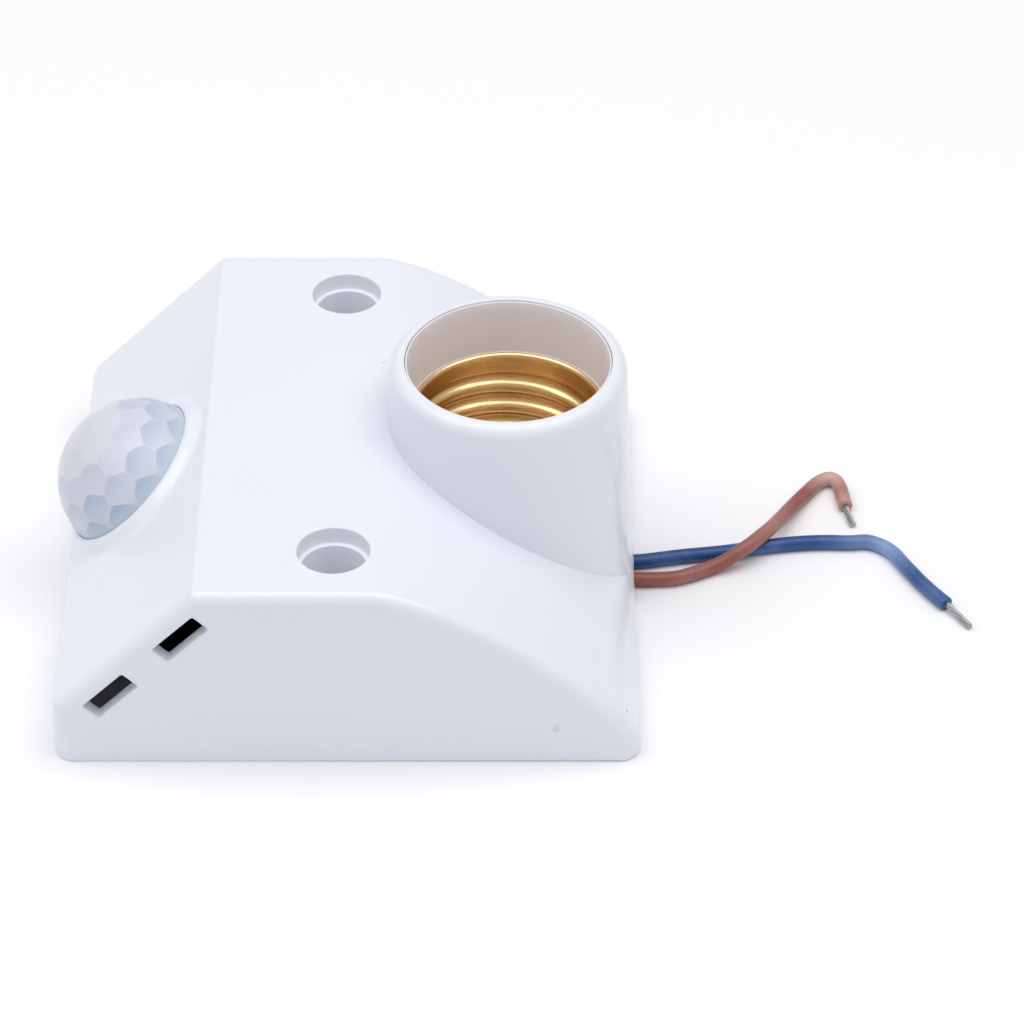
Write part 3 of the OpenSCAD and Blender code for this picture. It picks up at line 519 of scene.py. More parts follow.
housingSizes = {
    "width": 80, "depth": 80, "top": 29, "leftEdge": 9, "slantRun": 20,
    "fall": ((3, 29), (13.2, 29), (40, 9.2), (40, 2.5)),
    "wall": 2.2, "corner": 2.8, "edge": 1.55, "crease": 1.0, "footEdge": 0.3,
    "sleeveX": 22, "rim": 38.9, "bore": 14.4, "sleeveWall": 2.1, "rimEdge": 1.9, "draft": 2.5, "tubeEnd": 8.5,
    "holeX": -1.5, "holeY": 30, "counter": 4.9, "counterDepth": 2.6, "well": 4.35, "wellWall": 1.8,
    "lensU": -0.8, "opening": 11.56, "collarHeight": 1.3, "collarReach": 14.2,
    "slotLength": 8, "slotHeight": 3, "slotPitch": 14, "slotU": 0.5, "slotDepth": 4,
    "notchWidth": 10.4, "notchHeight": 3.3,
}
sensorScrewY = 15.5
plateScrews = [(-34, -22), (-34, 22), (30, -33), (30, 33)]
socketScrews = [(22 + 19.4 * math.cos(math.radians(135)), s * 19.4 * math.sin(math.radians(135))) for s in (-1, 1)]


def fallPoint(knots, t):
    w = ((1 - t) ** 3, 3 * (1 - t) ** 2 * t, 3 * (1 - t) * t * t, t ** 3)
    return Vector((sum(a * k[0] for a, k in zip(w, knots)), sum(a * k[1] for a, k in zip(w, knots))))


def bodyOutline(v, inX, inTop, r, low, steps):
    # side view of the box, set in; read from the lens end over the top to the cable end
    x0, x1 = -v["width"] / 2 + inX, v["width"] / 2 - inX
    slope = (v["top"] - v["leftEdge"]) / v["slantRun"]
    angle = math.atan(slope)
    kneeZ = v["leftEdge"] + (inX + r) * slope - (inTop + r) / math.cos(angle)
    creaseX = -v["width"] / 2 + v["slantRun"] + (inTop + r) * math.tan(angle / 2)
    a = math.degrees(angle)
    line = [(x0, low)] + arcPoints((x0 + r, kneeZ), r, 180, 90 + a, 5)
    line += arcPoints((creaseX, v["top"] - inTop - r), r, 90 + a, 90, 5)
    for i in range(steps + 1):
        t = i / steps
        p = fallPoint(v["fall"], t)
        h = fallPoint(v["fall"], min(t + 0.01, 1)) - fallPoint(v["fall"], max(t - 0.01, 0))
        inward = Vector((h.y, -h.x)).normalized()
        p += inward * (inTop * inward.y ** 2 + inX * inward.x ** 2)
        line.append((p.x, p.y))
    return line + [(x1, low)]


def bodyForm(name, v, inset, low, steps=60, rounds=8, foot=0.0):
    corner, edge = max(v["corner"] - inset, 0.4), max(v["edge"] - inset, 0.4)
    crease = max(v["crease"] - inset / 2, 0.2)
    half = v["depth"] / 2 - inset
    slices = []
    for side in (-1, 1):
        angles = [90 * i / rounds for i in range(rounds, -1, -1)]
        for a in (angles if side < 0 else angles[::-1]):
            s, c = math.sin(math.radians(a)), math.cos(math.radians(a))
            past = max(corner * s - (corner - edge), 0)
            inX = inset + corner * (1 - c)
            inTop = inset + edge - math.sqrt(max(edge * edge - past * past, 0))
            y = side * (half - corner + corner * s)
            line = bodyOutline(v, inX, inTop, crease, low, steps)
            if foot:
                # small rounding all round the foot
                out = math.radians(90 - a) if a < 90 else 0
                ring = []
                for (x, z) in line[:1]:
                    ring += [(x + foot * c, z, y - side * foot * s), (x + foot * 0.3 * c, z + foot * 0.3, y - side * foot * 0.3 * s),
                             (x, z + foot, y)]
                ring += [(x, z, y) for x, z in line[1:-1]]
                x, z = line[-1]
                ring += [(x, z + foot, y), (x - foot * 0.3 * c, z + foot * 0.3, y - side * foot * 0.3 * s),
                         (x - foot * c, z, y - side * foot * s)]
                slices.append([(x, yy, z) for x, z, yy in ring])
            else:
                slices.append([(x, y, z) for x, z in line])
    n = len(slices[0])
    points = [p for s in slices for p in s]
    faces = [tuple(range(n))]
    for j in range(len(slices) - 1):
        faces += [(j * n + k, (j + 1) * n + k, (j + 1) * n + (k + 1) % n, j * n + (k + 1) % n) for k in range(n)]
    faces.append(tuple((len(slices) - 1) * n + k for k in range(n - 1, -1, -1)))
    return facingOut(makeObject(name, points, faces, None, 0, 1.0))


def spunObject(name, profile, steps=128, centre=(0, 0), scale=1.0, material=None, smooth=0):
    points, faces = spun(profile, steps, centre)
    return facingOut(makeObject(name, points, faces, material, smooth, scale))


def slantSpun(name, profile, steps=128, u=0.0, v=0.0, scale=1.0, material=None, smooth=0):
    points, faces = spun(profile, steps)
    points = [onSlant((x + u, y + v, z)) for x, y, z in points]
    return facingOut(makeObject(name, points, faces, material, smooth, scale))


def boxForm(name, low, high, place=None):
    x, y, z = zip(low, high)
    points = [(x[i], y[j], z[k]) for i in (0, 1) for j in (0, 1) for k in (0, 1)]
    if place:
        points = [place(p) for p in points]
    faces = [(0, 1, 3, 2), (4, 6, 7, 5), (0, 4, 5, 1), (2, 3, 7, 6), (0, 2, 6, 4), (1, 5, 7, 3)]
    return facingOut(makeObject(name, points, faces, None, 0, 1.0))


def sleeveProfile(v, foot):
    r = v["bore"] + v["sleeveWall"]
    rim, e = v["rim"], v["rimEdge"]
    footR = r + (rim - e - foot) * math.tan(math.radians(v["draft"]))
    return [(0, foot), (footR, foot)] + arcPoints((r - e, rim - e), e, 0, 90, 10) + [(0, rim)]


def slotForm(v, face, s):
    # slot with a small bevel at its mouth and rounded ends
    u, h = v["slotU"] + s * v["slotPitch"] / 2, -v["slotDepth"]
    outline, r = [], 0.35
    for cx, ch, a0 in ((1, 1, 0), (-1, 1, 90), (-1, -1, 180), (1, -1, 270)):
        for a in range(0, 91, 30):
            t = math.radians(a0 + a)
            outline.append((cx * (v["slotLength"] / 2 - r) + r * math.cos(t), ch * (v["slotHeight"] / 2 - r) + r * math.sin(t)))
    rings = []
    y0 = v["depth"] / 2
    for y, grow in ((y0 - 4, 0.0), (y0 - 0.2, 0.0), (y0, 0.2), (y0 + 0.5, 0.7)):
        rings.append([onSlant((u + p[0] + math.copysign(grow, p[0]), face * y, h + p[1] + math.copysign(grow, p[1]))) for p in outline])
    n = len(outline)
    points = [p for ring in rings for p in ring]
    faces = [tuple(range(n)), tuple((len(rings) - 1) * n + k for k in range(n - 1, -1, -1))]
    for j in range(len(rings) - 1):
        faces += [(j * n + k, j * n + (k + 1) % n, (j + 1) * n + (k + 1) % n, (j + 1) * n + k) for k in range(n)]
    return facingOut(makeObject("slot", points, faces, None, 0, 1.0))


def markRecessPaintedLight(thing, v):
    # 1 on each face inside a screw well or a slot, where the material paints light over the shade in these recesses
    layer = thing.data.attributes.new("unpolished", "FLOAT", "FACE")
    outside = v["depth"] / 2
    for face, value in zip(thing.data.polygons, layer.data):
        p = face.center / mm
        inWell = math.hypot(p.x - v["holeX"], abs(p.y) - v["holeY"]) < v["counter"] + 0.05 and 0.5 < p.z < v["top"] - 0.26
        q = p - slantMiddle
        along = abs(abs(q.dot(slantUp) - v["slotU"]) - v["slotPitch"] / 2)
        inSlot = (along < v["slotLength"] / 2 + 0.1 and abs(q.dot(slantOut) + v["slotDepth"]) < v["slotHeight"] / 2 + 0.1
                  and outside - v["wall"] + 0.05 < abs(p.y) < outside - 0.21)
        value.value = float(inWell or inSlot)


def makeHousing(v):
    body = bodyForm("housingShell", v, 0, 0, foot=v["footEdge"])
    carve(body, spunObject("sleeve", sleeveProfile(v, 2.5), 160, (v["sleeveX"], 0)), "UNION")
    inner, h = v["opening"], v["collarHeight"]
    lip = inner - 0.16                                         # the collar's lip leans in over the dome
    flare = [(inner, -1.1), (inner, 0.2), (lip, h - 0.25)] + arcPoints((lip + 0.25, h - 0.25), 0.25, 180, 90, 4)
    knots = ((lip + 0.25, h), (inner + 1.2, h), (inner + 1.3, 0.05), (v["collarReach"], 0.0))
    flare += [tuple(fallPoint(knots, t / 14)) for t in range(1, 15)] + [(v["collarReach"], -1.1)]
    collar = slantSpun("collar", flare, 160, v["lensU"])
    carve(collar, boxForm("endPlane", (-90, -40, -10), (-40, 40, 60)), "DIFFERENCE")
    carve(body, collar, "UNION")
    carve(body, bodyForm("cavity", v, v["wall"], -1, 40, 4), "DIFFERENCE")
    carve(body, spunObject("tube", [(0, v["tubeEnd"]), (v["bore"] + v["sleeveWall"] + 1.2, v["tubeEnd"]),
                                    (v["bore"] + v["sleeveWall"] + 0.1, v["rim"] - 4), (0, v["rim"] - 4)],
                           96, (v["sleeveX"], 0)), "UNION")
    for s in (-1, 1):
        r = v["well"] + v["wellWall"]
        carve(body, spunObject("wellTube", [(0, 2), (r, 2), (r, v["top"] - 1.1), (0, v["top"] - 1.1)], 64,
                               (v["holeX"], s * v["holeY"])), "UNION")
    for x, y in plateScrews:
        top = 11.0 if x < 0 else 9.5
        carve(body, spunObject("plateBoss", [(0, 2), (2.5, 2), (2.5, top), (0, top)], 32, (x, y)), "UNION")
    for x, y in socketScrews:
        carve(body, spunObject("socketBoss", [(0, 8.5), (2.4, 8.5), (2.4, 16.5), (0, 16.5)], 32, (x, y)), "UNION")
    for s in (-1, 1):
        carve(body, slantSpun("sensorBoss", [(0, -6.2), (2.2, -6.2), (2.2, -1.1), (0, -1.1)], 32, v["lensU"],
                              s * sensorScrewY), "UNION")
    # bore with a softened mouth
    b, rim = v["bore"], v["rim"]
    mouth = [(0, 6.2), (b, 6.2), (b, rim - 0.2)] + arcPoints((b + 0.2, rim - 0.2), 0.2, 180, 90, 4) + [(b + 0.2, rim + 1), (0, rim + 1)]
    carve(body, spunObject("bore", mouth, 160, (v["sleeveX"], 0)), "DIFFERENCE")
    for s in (-1, 1):
        c, w, top, d = v["counter"], v["well"], v["top"], v["counterDepth"]
        step = [(0, -1), (w, -1), (w, top - d - 0.2)] + arcPoints((w + 0.2, top - d - 0.2), 0.2, 180, 90, 3)
        step += [(c, top - d), (c, top - 0.25)] + arcPoints((c + 0.25, top - 0.25), 0.25, 180, 90, 5) + [(c + 0.25, top + 1), (0, top + 1)]
        carve(body, spunObject("well", step, 128, (v["holeX"], s * v["holeY"])), "DIFFERENCE")
    for x, y in socketScrews:
        carve(body, spunObject("pilot", [(0, 7.5), (1, 7.5), (1, 15.5), (0, 15.5)], 24, (x, y)), "DIFFERENCE")
    for x, y in plateScrews:
        carve(body, spunObject("pilot", [(0, -1), (1.3, -1), (1.3, 8), (0, 8)], 24, (x, y)), "DIFFERENCE")
    carve(body, slantSpun("lensHole", [(0, -5), (inner, -5), (inner, 0.2), (lip, h - 0.25), (lip, 4), (0, 4)], 160, v["lensU"]), "DIFFERENCE")
    for s in (-1, 1):
        carve(body, slantSpun("pilot", [(0, -7.2), (1, -7.2), (1, -2.7), (0, -2.7)], 24, v["lensU"], s * sensorScrewY), "DIFFERENCE")
    for face in (-1, 1):
        for s in (-1, 1):
            carve(body, slotForm(v, face, s), "DIFFERENCE")
    half = v["width"] / 2
    carve(body, boxForm("notch", (half - 4.4, -v["notchWidth"] / 2, -1), (half + 2, v["notchWidth"] / 2, v["notchHeight"])), "DIFFERENCE")
    for p in body.data.vertices:
        p.co *= mm
    mesh = bmesh.new()
    mesh.from_mesh(body.data)
    bmesh.ops.remove_doubles(mesh, verts=mesh.verts, dist=2e-7)
    bmesh.ops.dissolve_degenerate(mesh, edges=mesh.edges, dist=2e-7)
    mesh.to_mesh(body.data)
    mesh.free()
    body.data.materials.clear()
    body.data.materials.append(absWhite)
    evenShade(body, 32)
    # painted light in the wells and slots
    markRecessPaintedLight(body, v)
    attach(body, "root")
    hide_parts("housing")
    return body


housing = makeHousing(housingSizes)
print("housing made,", len(housing.data.polygons), "faces")


socketSizes = {
    "x": 22, "linerOut": 14.32, "linerIn": 13.75, "linerTop": 38.62, "pocket": 13.65, "floor": 6.5, "floorTop": 8.5,
    "step": 10.3, "stepHole": 11.0, "root": 13.3, "crest": 12.3, "pitch": 3.629, "sheet": 0.3,
    "lip": 30.3, "crestAtBack": 24.75, "plain": 12.98, "roll": 0.62, "rollHeight": 0.95,
}


def makeLiner(v):
    top, e = v["linerTop"], 0.1
    line = [(v["linerOut"], v["floor"]), (v["linerOut"], top - e)]
    line += arcPoints((v["linerOut"] - e, top - e), e, 0, 180, 6)
    line += [(v["linerIn"] + 0.12, top - 1.4), (v["linerIn"], v["lip"]), (v["pocket"], v["lip"]), (v["pocket"], v["step"]), (v["stepHole"], v["step"]),
             (v["stepHole"], v["floorTop"]), (0, v["floorTop"]), (0, v["floor"])]
    liner = spunObject("socketLiner", line, 160, (v["x"], 0))
    for x, y in socketScrews:
        carve(liner, spunObject("ear", [(0, 6.5), (2.4, 6.5), (2.4, 8.5), (0, 8.5)], 32, (x, y)), "UNION")
        ahead = Vector((x - v["x"], y)).normalized()
        side = Vector((-ahead.y, ahead.x))

        def earPlace(p):
            q = Vector((v["x"], 0)) + ahead * p[0] + side * p[1]
            return (q.x, q.y, p[2])
        carve(liner, boxForm("earArm", (9.7, -2.3, 6.5), (19.4, 2.3, 8.5), earPlace), "UNION")
        carve(liner, spunObject("earHole", [(0, 6), (1, 6), (1, 9), (0, 9)], 24, (x, y)), "DIFFERENCE")
    for x in (15.5, 28.5):
        carve(liner, spunObject("rivetHole", [(0, 6), (1, 6), (1, 9), (0, 9)], 24, (x, 0)), "DIFFERENCE")
    for p in liner.data.vertices:
        p.co *= mm
    liner.data.materials.clear()
    liner.data.materials.append(resinLiner)
    evenShade(liner, 32)
    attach(liner, "root")
    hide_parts("socket_liner")
    return liner


def makeScrewShell(v):
    # the thread is a right-hand helix that fades into the plain lip and foot
    turns, rows = 160, 150
    depth, quarter = (v["root"] - v["crest"]) / 2, v["pitch"] / 4
    curve = (depth ** 2 + quarter ** 2) / (2 * depth)          # radius of the arcs that the thread's wave is made of
    z0, z1 = v["step"], v["lip"]
    inner = []
    for i in range(rows + 1):
        z = z0 + v["sheet"] + (z1 - z0 - v["sheet"]) * i / rows
        ring = []
        for k in range(turns):
            a = 2 * math.pi * k / turns
            crestZ = v["crestAtBack"] + v["pitch"] * (a - math.pi / 2) / (2 * math.pi)
            off = abs((z - crestZ + v["pitch"] / 2) % v["pitch"] - v["pitch"] / 2)
            if off < quarter:
                r = v["crest"] + curve - math.sqrt(curve ** 2 - off ** 2)
            else:
                r = v["root"] - curve + math.sqrt(curve ** 2 - (v["pitch"] / 2 - off) ** 2)
            low = min(1, max(0, (z - z0 - 0.8) / 1.6))
            high = min(1, max(0, (z1 - 2.3 - z) / 1.6))
            fade = (3 * low ** 2 - 2 * low ** 3) * (3 * high ** 2 - 2 * high ** 3)
            base = v["plain"] if z > (z0 + z1) / 2 else v["root"]
            rise = max(0, 1 - (z1 - z) / v["rollHeight"])       # 0 to 1 over the rolled lip
            r = base + (r - base) * fade + v["roll"] * (1 - math.sqrt(1 - rise ** 2))
            ring.append((r, a, z))
        inner.append(ring)
    rings = [[(v["crest"] - 1.1, p[1], z0) for p in inner[0]], [(v["crest"] - 1.1, p[1], z0 + v["sheet"]) for p in inner[0]]]
    rings += inner
    rings += [[(min(r + v["sheet"], 13.62), a, z) for r, a, z in ring] for ring in inner[::-1]]
    rings.append([(v["root"] + v["sheet"], p[1], z0) for p in inner[0]])
    points = [(v["x"] + r * math.cos(a), r * math.sin(a), z) for ring in rings for r, a, z in ring]
    faces = []
    n = len(rings)
    for j in range(n):
        for k in range(turns):
            m = (k + 1) % turns
            faces.append((j * turns + k, j * turns + m, (j + 1) % n * turns + m, (j + 1) % n * turns + k))
    shell = facingOut(makeObject("screwShell", points, faces, brass, 40))
    shell.data.shade_smooth()
    shell.data.set_sharp_from_angle(angle=math.radians(40))
    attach(shell, "root")
    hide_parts("screw_shell")
    return shell


liner = makeLiner(socketSizes)
screwShell = makeScrewShell(socketSizes)
print("socket made")


lensSizes = {
    "radius": 11.5, "sink": 0.6, "u": -0.8, "wall": 0.8, "flange": 12.25, "flangeThick": 1.0,
    "rings": ((0, 1, 0.0), (26.0, 7, -12.0), (44.6, 13, -5.0), (62.4, 13, 8.8), (80.0, 13, -5.0)),   # polar angle, cells, first azimuth
    "fine": 10,              # mesh steps from the middle of a facet to its side
    "dish": 0.07,            # how far each facet's face leans in at its rim, as a slope
}
lensTones = {
    # the darkest tone is painted shade for the facets; the palest is the plastic's own milky colour
    "thin": "#92a9cd", "thick": "#d9dce7", "haze": "#ded9e1", "base": "#c6d3dc",
    "seed": 5,
}


def facetCentres(v):
    out = []
    for polar, count, first in v["rings"]:
        for k in range(count):
            p, a = math.radians(polar), math.radians(first + 360 * k / count)
            out.append(Vector((math.sin(p) * math.cos(a), math.sin(p) * math.sin(a), math.cos(p))))
    return out


def facetOutline(centres, i):
    # the facet's corners, from its border lines with the others, seen flat from the ball's middle
    c = centres[i]
    side = c.cross(Vector((0.123, 0.456, 0.881))).normalized()
    top = c.cross(side)
    shape = [(-2.5, -2.5), (2.5, -2.5), (2.5, 2.5), (-2.5, 2.5)]
    planes = [c - d for j, d in enumerate(centres) if j != i and c.angle(d) < 1.3]
    planes.append(Vector((0, 0, 1)))
    for n in planes:
        f = lambda q: (c + side * q[0] + top * q[1]).dot(n)
        cut = []
        for a, b in zip(shape, shape[1:] + shape[:1]):
            fa, fb = f(a), f(b)
            if fa >= 0:
                cut.append(a)
            if (fa >= 0) != (fb >= 0):
                t = fa / (fa - fb)
                cut.append((a[0] + (b[0] - a[0]) * t, a[1] + (b[1] - a[1]) * t))
        shape = cut
        if not shape:
            return []
    corners = [(c + side * q[0] + top * q[1]).normalized() for q in shape]
    kept = [q for q, r in zip(corners, corners[1:] + corners[:1]) if (q - r).length > 1e-5]
    return kept


def makeLens(v):
    centres = facetCentres(v)
    mesh = bmesh.new()
    facetOf = mesh.faces.layers.int.new("facet")
    n = v["fine"]
    for i, c in enumerate(centres):
        corners = facetOutline(centres, i)
        if len(corners) < 3:
            continue
        middle = sum(corners, Vector()).normalized()
        for a, b in zip(corners, corners[1:] + corners[:1]):
            # a triangle from the middle to one side, cut into a fine grid
            grid = {}
            for j in range(n + 1):
                for k in range(j + 1):
                    edge = a.lerp(b, k / j if j else 0)
                    grid[j, k] = mesh.verts.new(middle.lerp(edge, j / n).normalized())
            for j in range(n):
                for k in range(j + 1):
                    f = mesh.faces.new((grid[j, k], grid[j + 1, k], grid[j + 1, k + 1]))
                    f[facetOf] = i
                    if k < j:
                        f = mesh.faces.new((grid[j, k], grid[j + 1, k + 1], grid[j, k + 1]))
                        f[facetOf] = i
    bmesh.ops.remove_doubles(mesh, verts=mesh.verts, dist=2e-5)
    bmesh.ops.recalc_face_normals(mesh, faces=mesh.faces)
    for p in mesh.verts:
        p.co *= v["radius"]
        if p.co.z < 1e-3:
            p.co.z = 0
    # down from the ball's rim to the flange, and back up inside
    rim = [e for e in mesh.edges if e.is_boundary]
    inner = v["radius"] - v["wall"]
    foot = -1.6
    steps = [(v["radius"], foot), (v["flange"], foot), (v["flange"], foot - v["flangeThick"]), (inner, foot - v["flangeThick"]), (inner, 0)]
    steps += [(inner * math.cos(math.radians(b)), inner * math.sin(math.radians(b))) for b in range(9, 90, 9)]
    for r, z in steps:
        made = bmesh.ops.extrude_edge_only(mesh, edges=rim)["geom"]
        rim = [g for g in made if isinstance(g, bmesh.types.BMEdge)]
        for p in {q for e in rim for q in e.verts}:
            flat = Vector((p.co.x, p.co.y)).normalized() * r
            p.co = (flat.x, flat.y, z)
        for g in made:
            if isinstance(g, bmesh.types.BMFace):
                g[facetOf] = -1
    bmesh.ops.holes_fill(mesh, edges=rim)
    for f in mesh.faces:
        if f.calc_center_median().length < v["radius"] - 0.3 or f.calc_center_median().z < 0.001:
            f[facetOf] = -1
    bmesh.ops.recalc_face_normals(mesh, faces=mesh.faces)
    data = bpy.data.meshes.new("lensDome")
    mesh.to_mesh(data)
    mesh.free()
    thin, thick, haze, base = (np.array(linearColour(lensTones[k])[:3]) for k in ("thin", "thick", "haze", "base"))
    # per-corner colour of the facets, with painted shade in it
    tone = data.attributes.new("facetTone", "FLOAT_COLOR", "CORNER")
    normals = []
    data.shade_smooth()
    given = [Vector(x.vector) for x in data.corner_normals]
    layer = data.attributes["facet"]
    pole = Vector((0, 0, 1))
    share = np.random.default_rng(lensTones["seed"]).uniform(0.6, 1.15, len(centres))      # how strongly each facet's painted shade shows
    for face in data.polygons:
        i = layer.data[face.index].value
        for corner in face.loop_indices:
            p = data.vertices[data.loops[corner].vertex_index].co
            if i < 0:
                normals.append(given[corner])
                tone.data[corner].color = (*(thick * 0.6), 1)
                continue
            out = p.normalized()
            c = centres[i]
            away = (out - c * out.dot(c))
            reach = min(1.0, away.length * v["radius"] / 2.1)
            lean = v["dish"] * reach
            normals.append((out - away.normalized() * lean if away.length > 1e-6 else out).normalized())
            up = (pole - c * pole.dot(c))
            up = up.normalized() if up.length > 1e-3 else Vector((1, 0, 0))
            across = away.dot(up) * v["radius"] / 2.2          # +1 at the side next to the dome's top
            polar = math.degrees(math.acos(max(-1, min(1, out.z))))
            low = min(1, max(0, (polar - 25) / 50))
            # painted shade: dark at the facet's side next to the dome's top, where its dished face leans away from the
            # light, and more so towards the dome's foot; lost in haze at its corners and its lower side
            dark = min(1, max(0, 0.45 + 0.55 * across)) ** 1.3
            corners = min(1, max(0, (away.length * v["radius"] - 2.05) / 0.5))
            paintedShade = min(1, (dark * (0.12 + 0.8 * low) + 0.2 * low) * share[i] * (1 - 0.5 * corners))
            # painted shade: the foot of the dome, next to the collar, is pulled to a grey blue
            foot = min(1, max(0, (polar - 62) / 18))
            colour = thick * (1 - 0.4 * reach) + haze * 0.4 * reach
            colour = colour * (1 - paintedShade) + thin * paintedShade
            colour = colour * (1 - 0.7 * foot) + base * 0.7 * foot
            tone.data[corner].color = (*colour, 1)
    place = Vector((v["u"], 0, -v["sink"]))
    for p in data.vertices:
        p.co = Vector(onSlant(Vector(p.co) + place)) * mm
    turned = [(slantUp * q.x + Vector((0, q.y, 0)) + slantOut * q.z).normalized() for q in normals]
    data.normals_split_custom_set(turned)
    lens = bpy.data.objects.new("lensDome", data)
    bpy.context.scene.collection.objects.link(lens)
    data.materials.append(milkyLens)
    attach(lens, "root")
    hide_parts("lens")
    return lens


lens = makeLens(lensSizes)
print("lens made,", len(lens.data.polygons), "faces")


screwSizes = {
    "head": 2.5, "headHeight": 1.3, "low": 0.1, "shank": 1.2, "root": 0.95, "tip": 7.0, "pitch": 0.8,
    "cross": 1.25, "crossWidth": 0.5, "crossDepth": 0.7,
    "turnStep": 1.1,         # each screw stopped at another angle (radians)
}


def screwTree():
    # one copy of the given screw on each point, each turned by its own angle
    tree = bpy.data.node_groups.new("screwsOnPoints", "GeometryNodeTree")
    face = tree.interface
    face.new_socket("Geometry", in_out="INPUT", socket_type="NodeSocketGeometry")
    for label, kind in (("Screw", "NodeSocketObject"), ("Turn Step", "NodeSocketFloat"), ("Finish", "NodeSocketMaterial")):
        face.new_socket(label, in_out="INPUT", socket_type=kind)
    face.new_socket("Geometry", in_out="OUTPUT", socket_type="NodeSocketGeometry")
    given = addNode(tree, "NodeGroupInput")
    one = addNode(tree, "GeometryNodeObjectInfo", Object=(given, "Screw"))
    which = addNode(tree, "GeometryNodeInputIndex")
    angle = addNode(tree, "ShaderNodeMath", {"operation": "MULTIPLY"}, i0=(which, 0), i1=(given, "Turn Step"))
    turn = addNode(tree, "ShaderNodeCombineXYZ", Z=(angle, 0))
    placed = addNode(tree, "GeometryNodeInstanceOnPoints", Points=(given, "Geometry"), Instance=(one, "Geometry"), Rotation=(turn, 0))
    real = addNode(tree, "GeometryNodeRealizeInstances", Geometry=(placed, 0))
    finish = addNode(tree, "GeometryNodeSetMaterial", Geometry=(real, 0), Material=(given, "Finish"))
    out = addNode(tree, "NodeGroupOutput")
    tree.links.new(finish.outputs[0], out.inputs[0])
    return tree


def makeBaseScrews(v):
    line = [(0, v["low"]), (v["head"] - 0.1, v["low"]), (v["head"], v["low"] + 0.12), (v["shank"], v["low"] + v["headHeight"])]
    z = line[-1][1] + 0.5
    while z < v["tip"] - 1.2:                               # rolled thread, drawn as rings
        line += [(v["root"], z), (v["shank"], z + v["pitch"] / 2)]
        z += v["pitch"]
    line += [(v["root"], v["tip"] - 0.8), (0.4, v["tip"]), (0, v["tip"])]
    screw = spunObject("screwPattern", line, 48)
    a, b, top = v["cross"], v["crossWidth"] / 2, v["low"] + v["crossDepth"]
    carve(screw, boxForm("crossOne", (-a, -b, -1), (a, b, top)), "DIFFERENCE")
    carve(screw, boxForm("crossTwo", (-b, -a, -1), (b, a, top)), "DIFFERENCE")
    for p in screw.data.vertices:
        p.co *= mm
    screw.data.shade_smooth()
    screw.data.set_sharp_from_angle(angle=math.radians(35))
    dots = makeObject("baseScrews", [(x, y, 0) for x, y in plateScrews], [], None, 0)
    screws = grown(dots, screwTree(), Screw=screw, TurnStep=v["turnStep"], Finish=zincSteel)
    bpy.data.objects.remove(screw)
    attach(screws, "root")
    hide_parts("base_screws")
    return screws


baseScrews = makeBaseScrews(screwSizes)
print("base screws made")


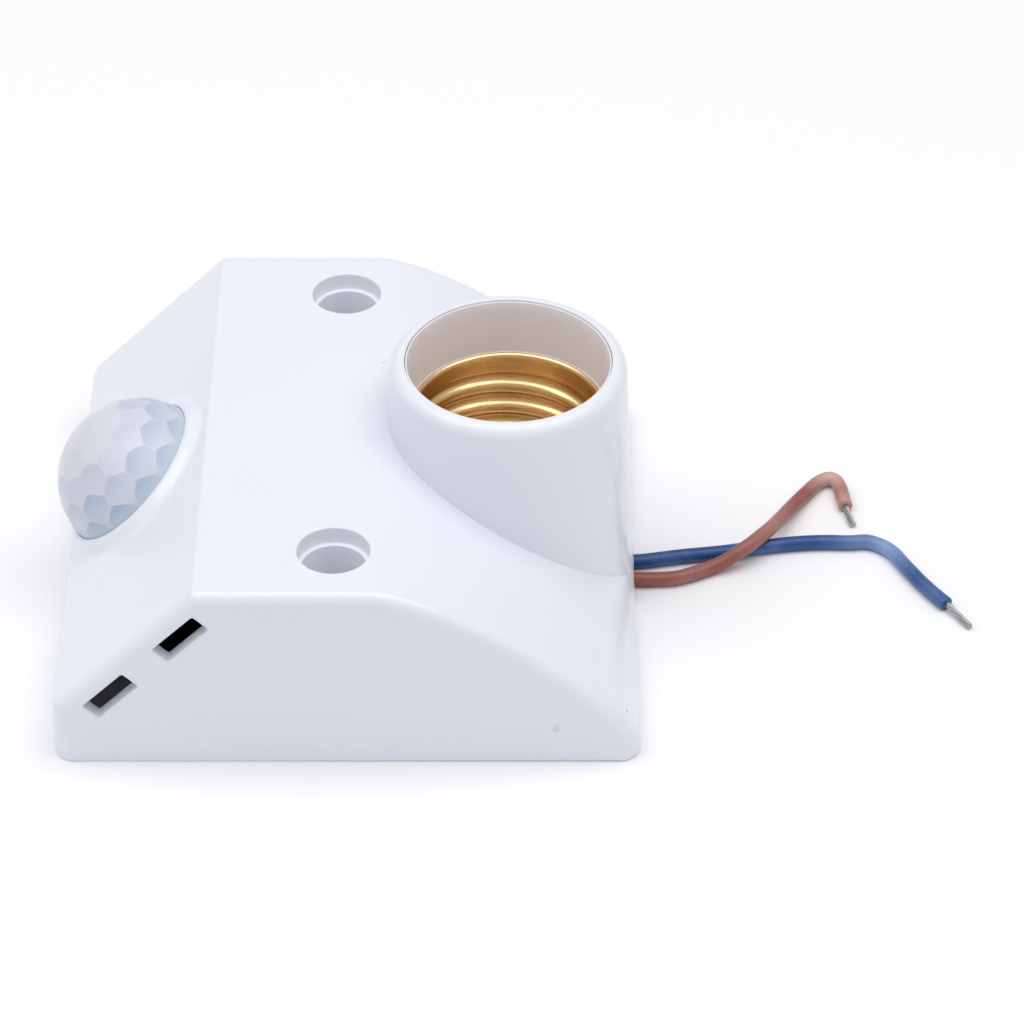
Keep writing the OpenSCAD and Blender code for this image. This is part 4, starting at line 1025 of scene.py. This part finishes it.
boardLacquer = plainFinish("fibreglass_board_lacquered", "#1d5a35", "#24683f", 0.35, 0.0, 1.2)
blackPlastic = plainFinish("abs_moulded_black", "#151517", "#1d1d20", 0.5, 0.0, 0.8)
finishes = {
    "plate_plastic": plainFinish("abs_moulded_matt_white", "#e3e5ec", "#e9ebf1", 0.45, 0.0, 3.0),
    "zinc_steel": zincSteel,
    "brass": brass,
    "contact_spring": bronze,
    "rivet_metal": plainFinish("aluminium_drawn", "#c4c5c8", "#d6d7d9", 0.28, 1.0, 0.6),
    "black_plastic": blackPlastic,
    "board": boardLacquer,
    "tin": tinned,
    "sensor_can": plainFinish("nickel_plated_can", "#a7a7aa", "#bdbdc0", 0.25, 1.0, 0.8),
    "clear_resin": plainFinish("epoxy_cast_clear", "#c9b48f", "#d6c4a3", 0.12, 0.0, 1.5),
    "blue_plastic": plainFinish("pbt_moulded_blue", "#1c4f9c", "#2458a6", 0.35, 0.0, 2.0),
    "yellow_film": plainFinish("polyester_film_wrapped", "#d9a928", "#e2b53b", 0.3, 0.0, 2.5),
    "capacitor_sleeve": plainFinish("pvc_sleeve_shrunk", "#1b1e33", "#23263d", 0.35, 0.0, 2.0),
    "resistor_lacquer": plainFinish("lacquer_dipped_beige", "#c9b083", "#d6bf95", 0.4, 0.0, 0.8),
    "green_lacquer": plainFinish("cement_lacquered_green", "#5e7b66", "#6c8a74", 0.6, 0.0, 0.5),
    "red_insulation": wireSkin("pvc_extruded_red", "#a3262a", "#b8484a"),
    "black_insulation": wireSkin("pvc_extruded_black", "#1c1c1e", "#303033"),
    "liner_plastic": resinLiner, "housing_plastic": absWhite, "lens_plastic": milkyLens,
    "brown_insulation": brownSkin, "blue_insulation": blueSkin,
}
slotOf = {part["node"]: part["material_slot"] for part in frame["record"]["subparts"]}
for name, thing in frame["nodes"].items():
    thing.data.materials.clear()
    thing.data.materials.append(finishes[slotOf[name]])
print("finishes set")


studio = {
    "floor": "#f8f8fa",
    "sky": 0.5,
    "key": 9.0, "keyPlace": (-0.05, -0.06, 1.0), "keyWidth": 1.8, "keyDepth": 0.8,
}


def makeStudio(v):
    material, tree, surface = newMaterial("studio_floor", Roughness=0.8)
    surface.inputs["Base Color"].default_value = linearColour(v["floor"])
    floor = makeObject("studioFloor", [(-3, -3, 0), (3, -3, 0), (3, 3, 0), (-3, 3, 0)], [(0, 1, 2, 3)], material, 0, 1.0)
    world = bpy.data.worlds.new("studioSky")
    world.use_nodes = True
    sky = world.node_tree.nodes["Background"]
    sky.inputs["Color"].default_value = (1, 1, 1, 1)
    sky.inputs["Strength"].default_value = v["sky"]
    bpy.context.scene.world = world
    data = bpy.data.lights.new("keyLight", "AREA")
    data.shape = "RECTANGLE"
    data.size, data.size_y = v["keyWidth"], v["keyDepth"]
    data.energy = v["key"]
    key = bpy.data.objects.new("keyLight", data)
    key.location = v["keyPlace"]
    key.rotation_euler = (math.atan2(v["keyPlace"][1], -v["keyPlace"][2]) + math.pi, 0, 0)
    bpy.context.scene.collection.objects.link(key)
    bpy.context.scene.view_settings.view_transform = "Standard"


makeStudio(studio)
print("studio lit")
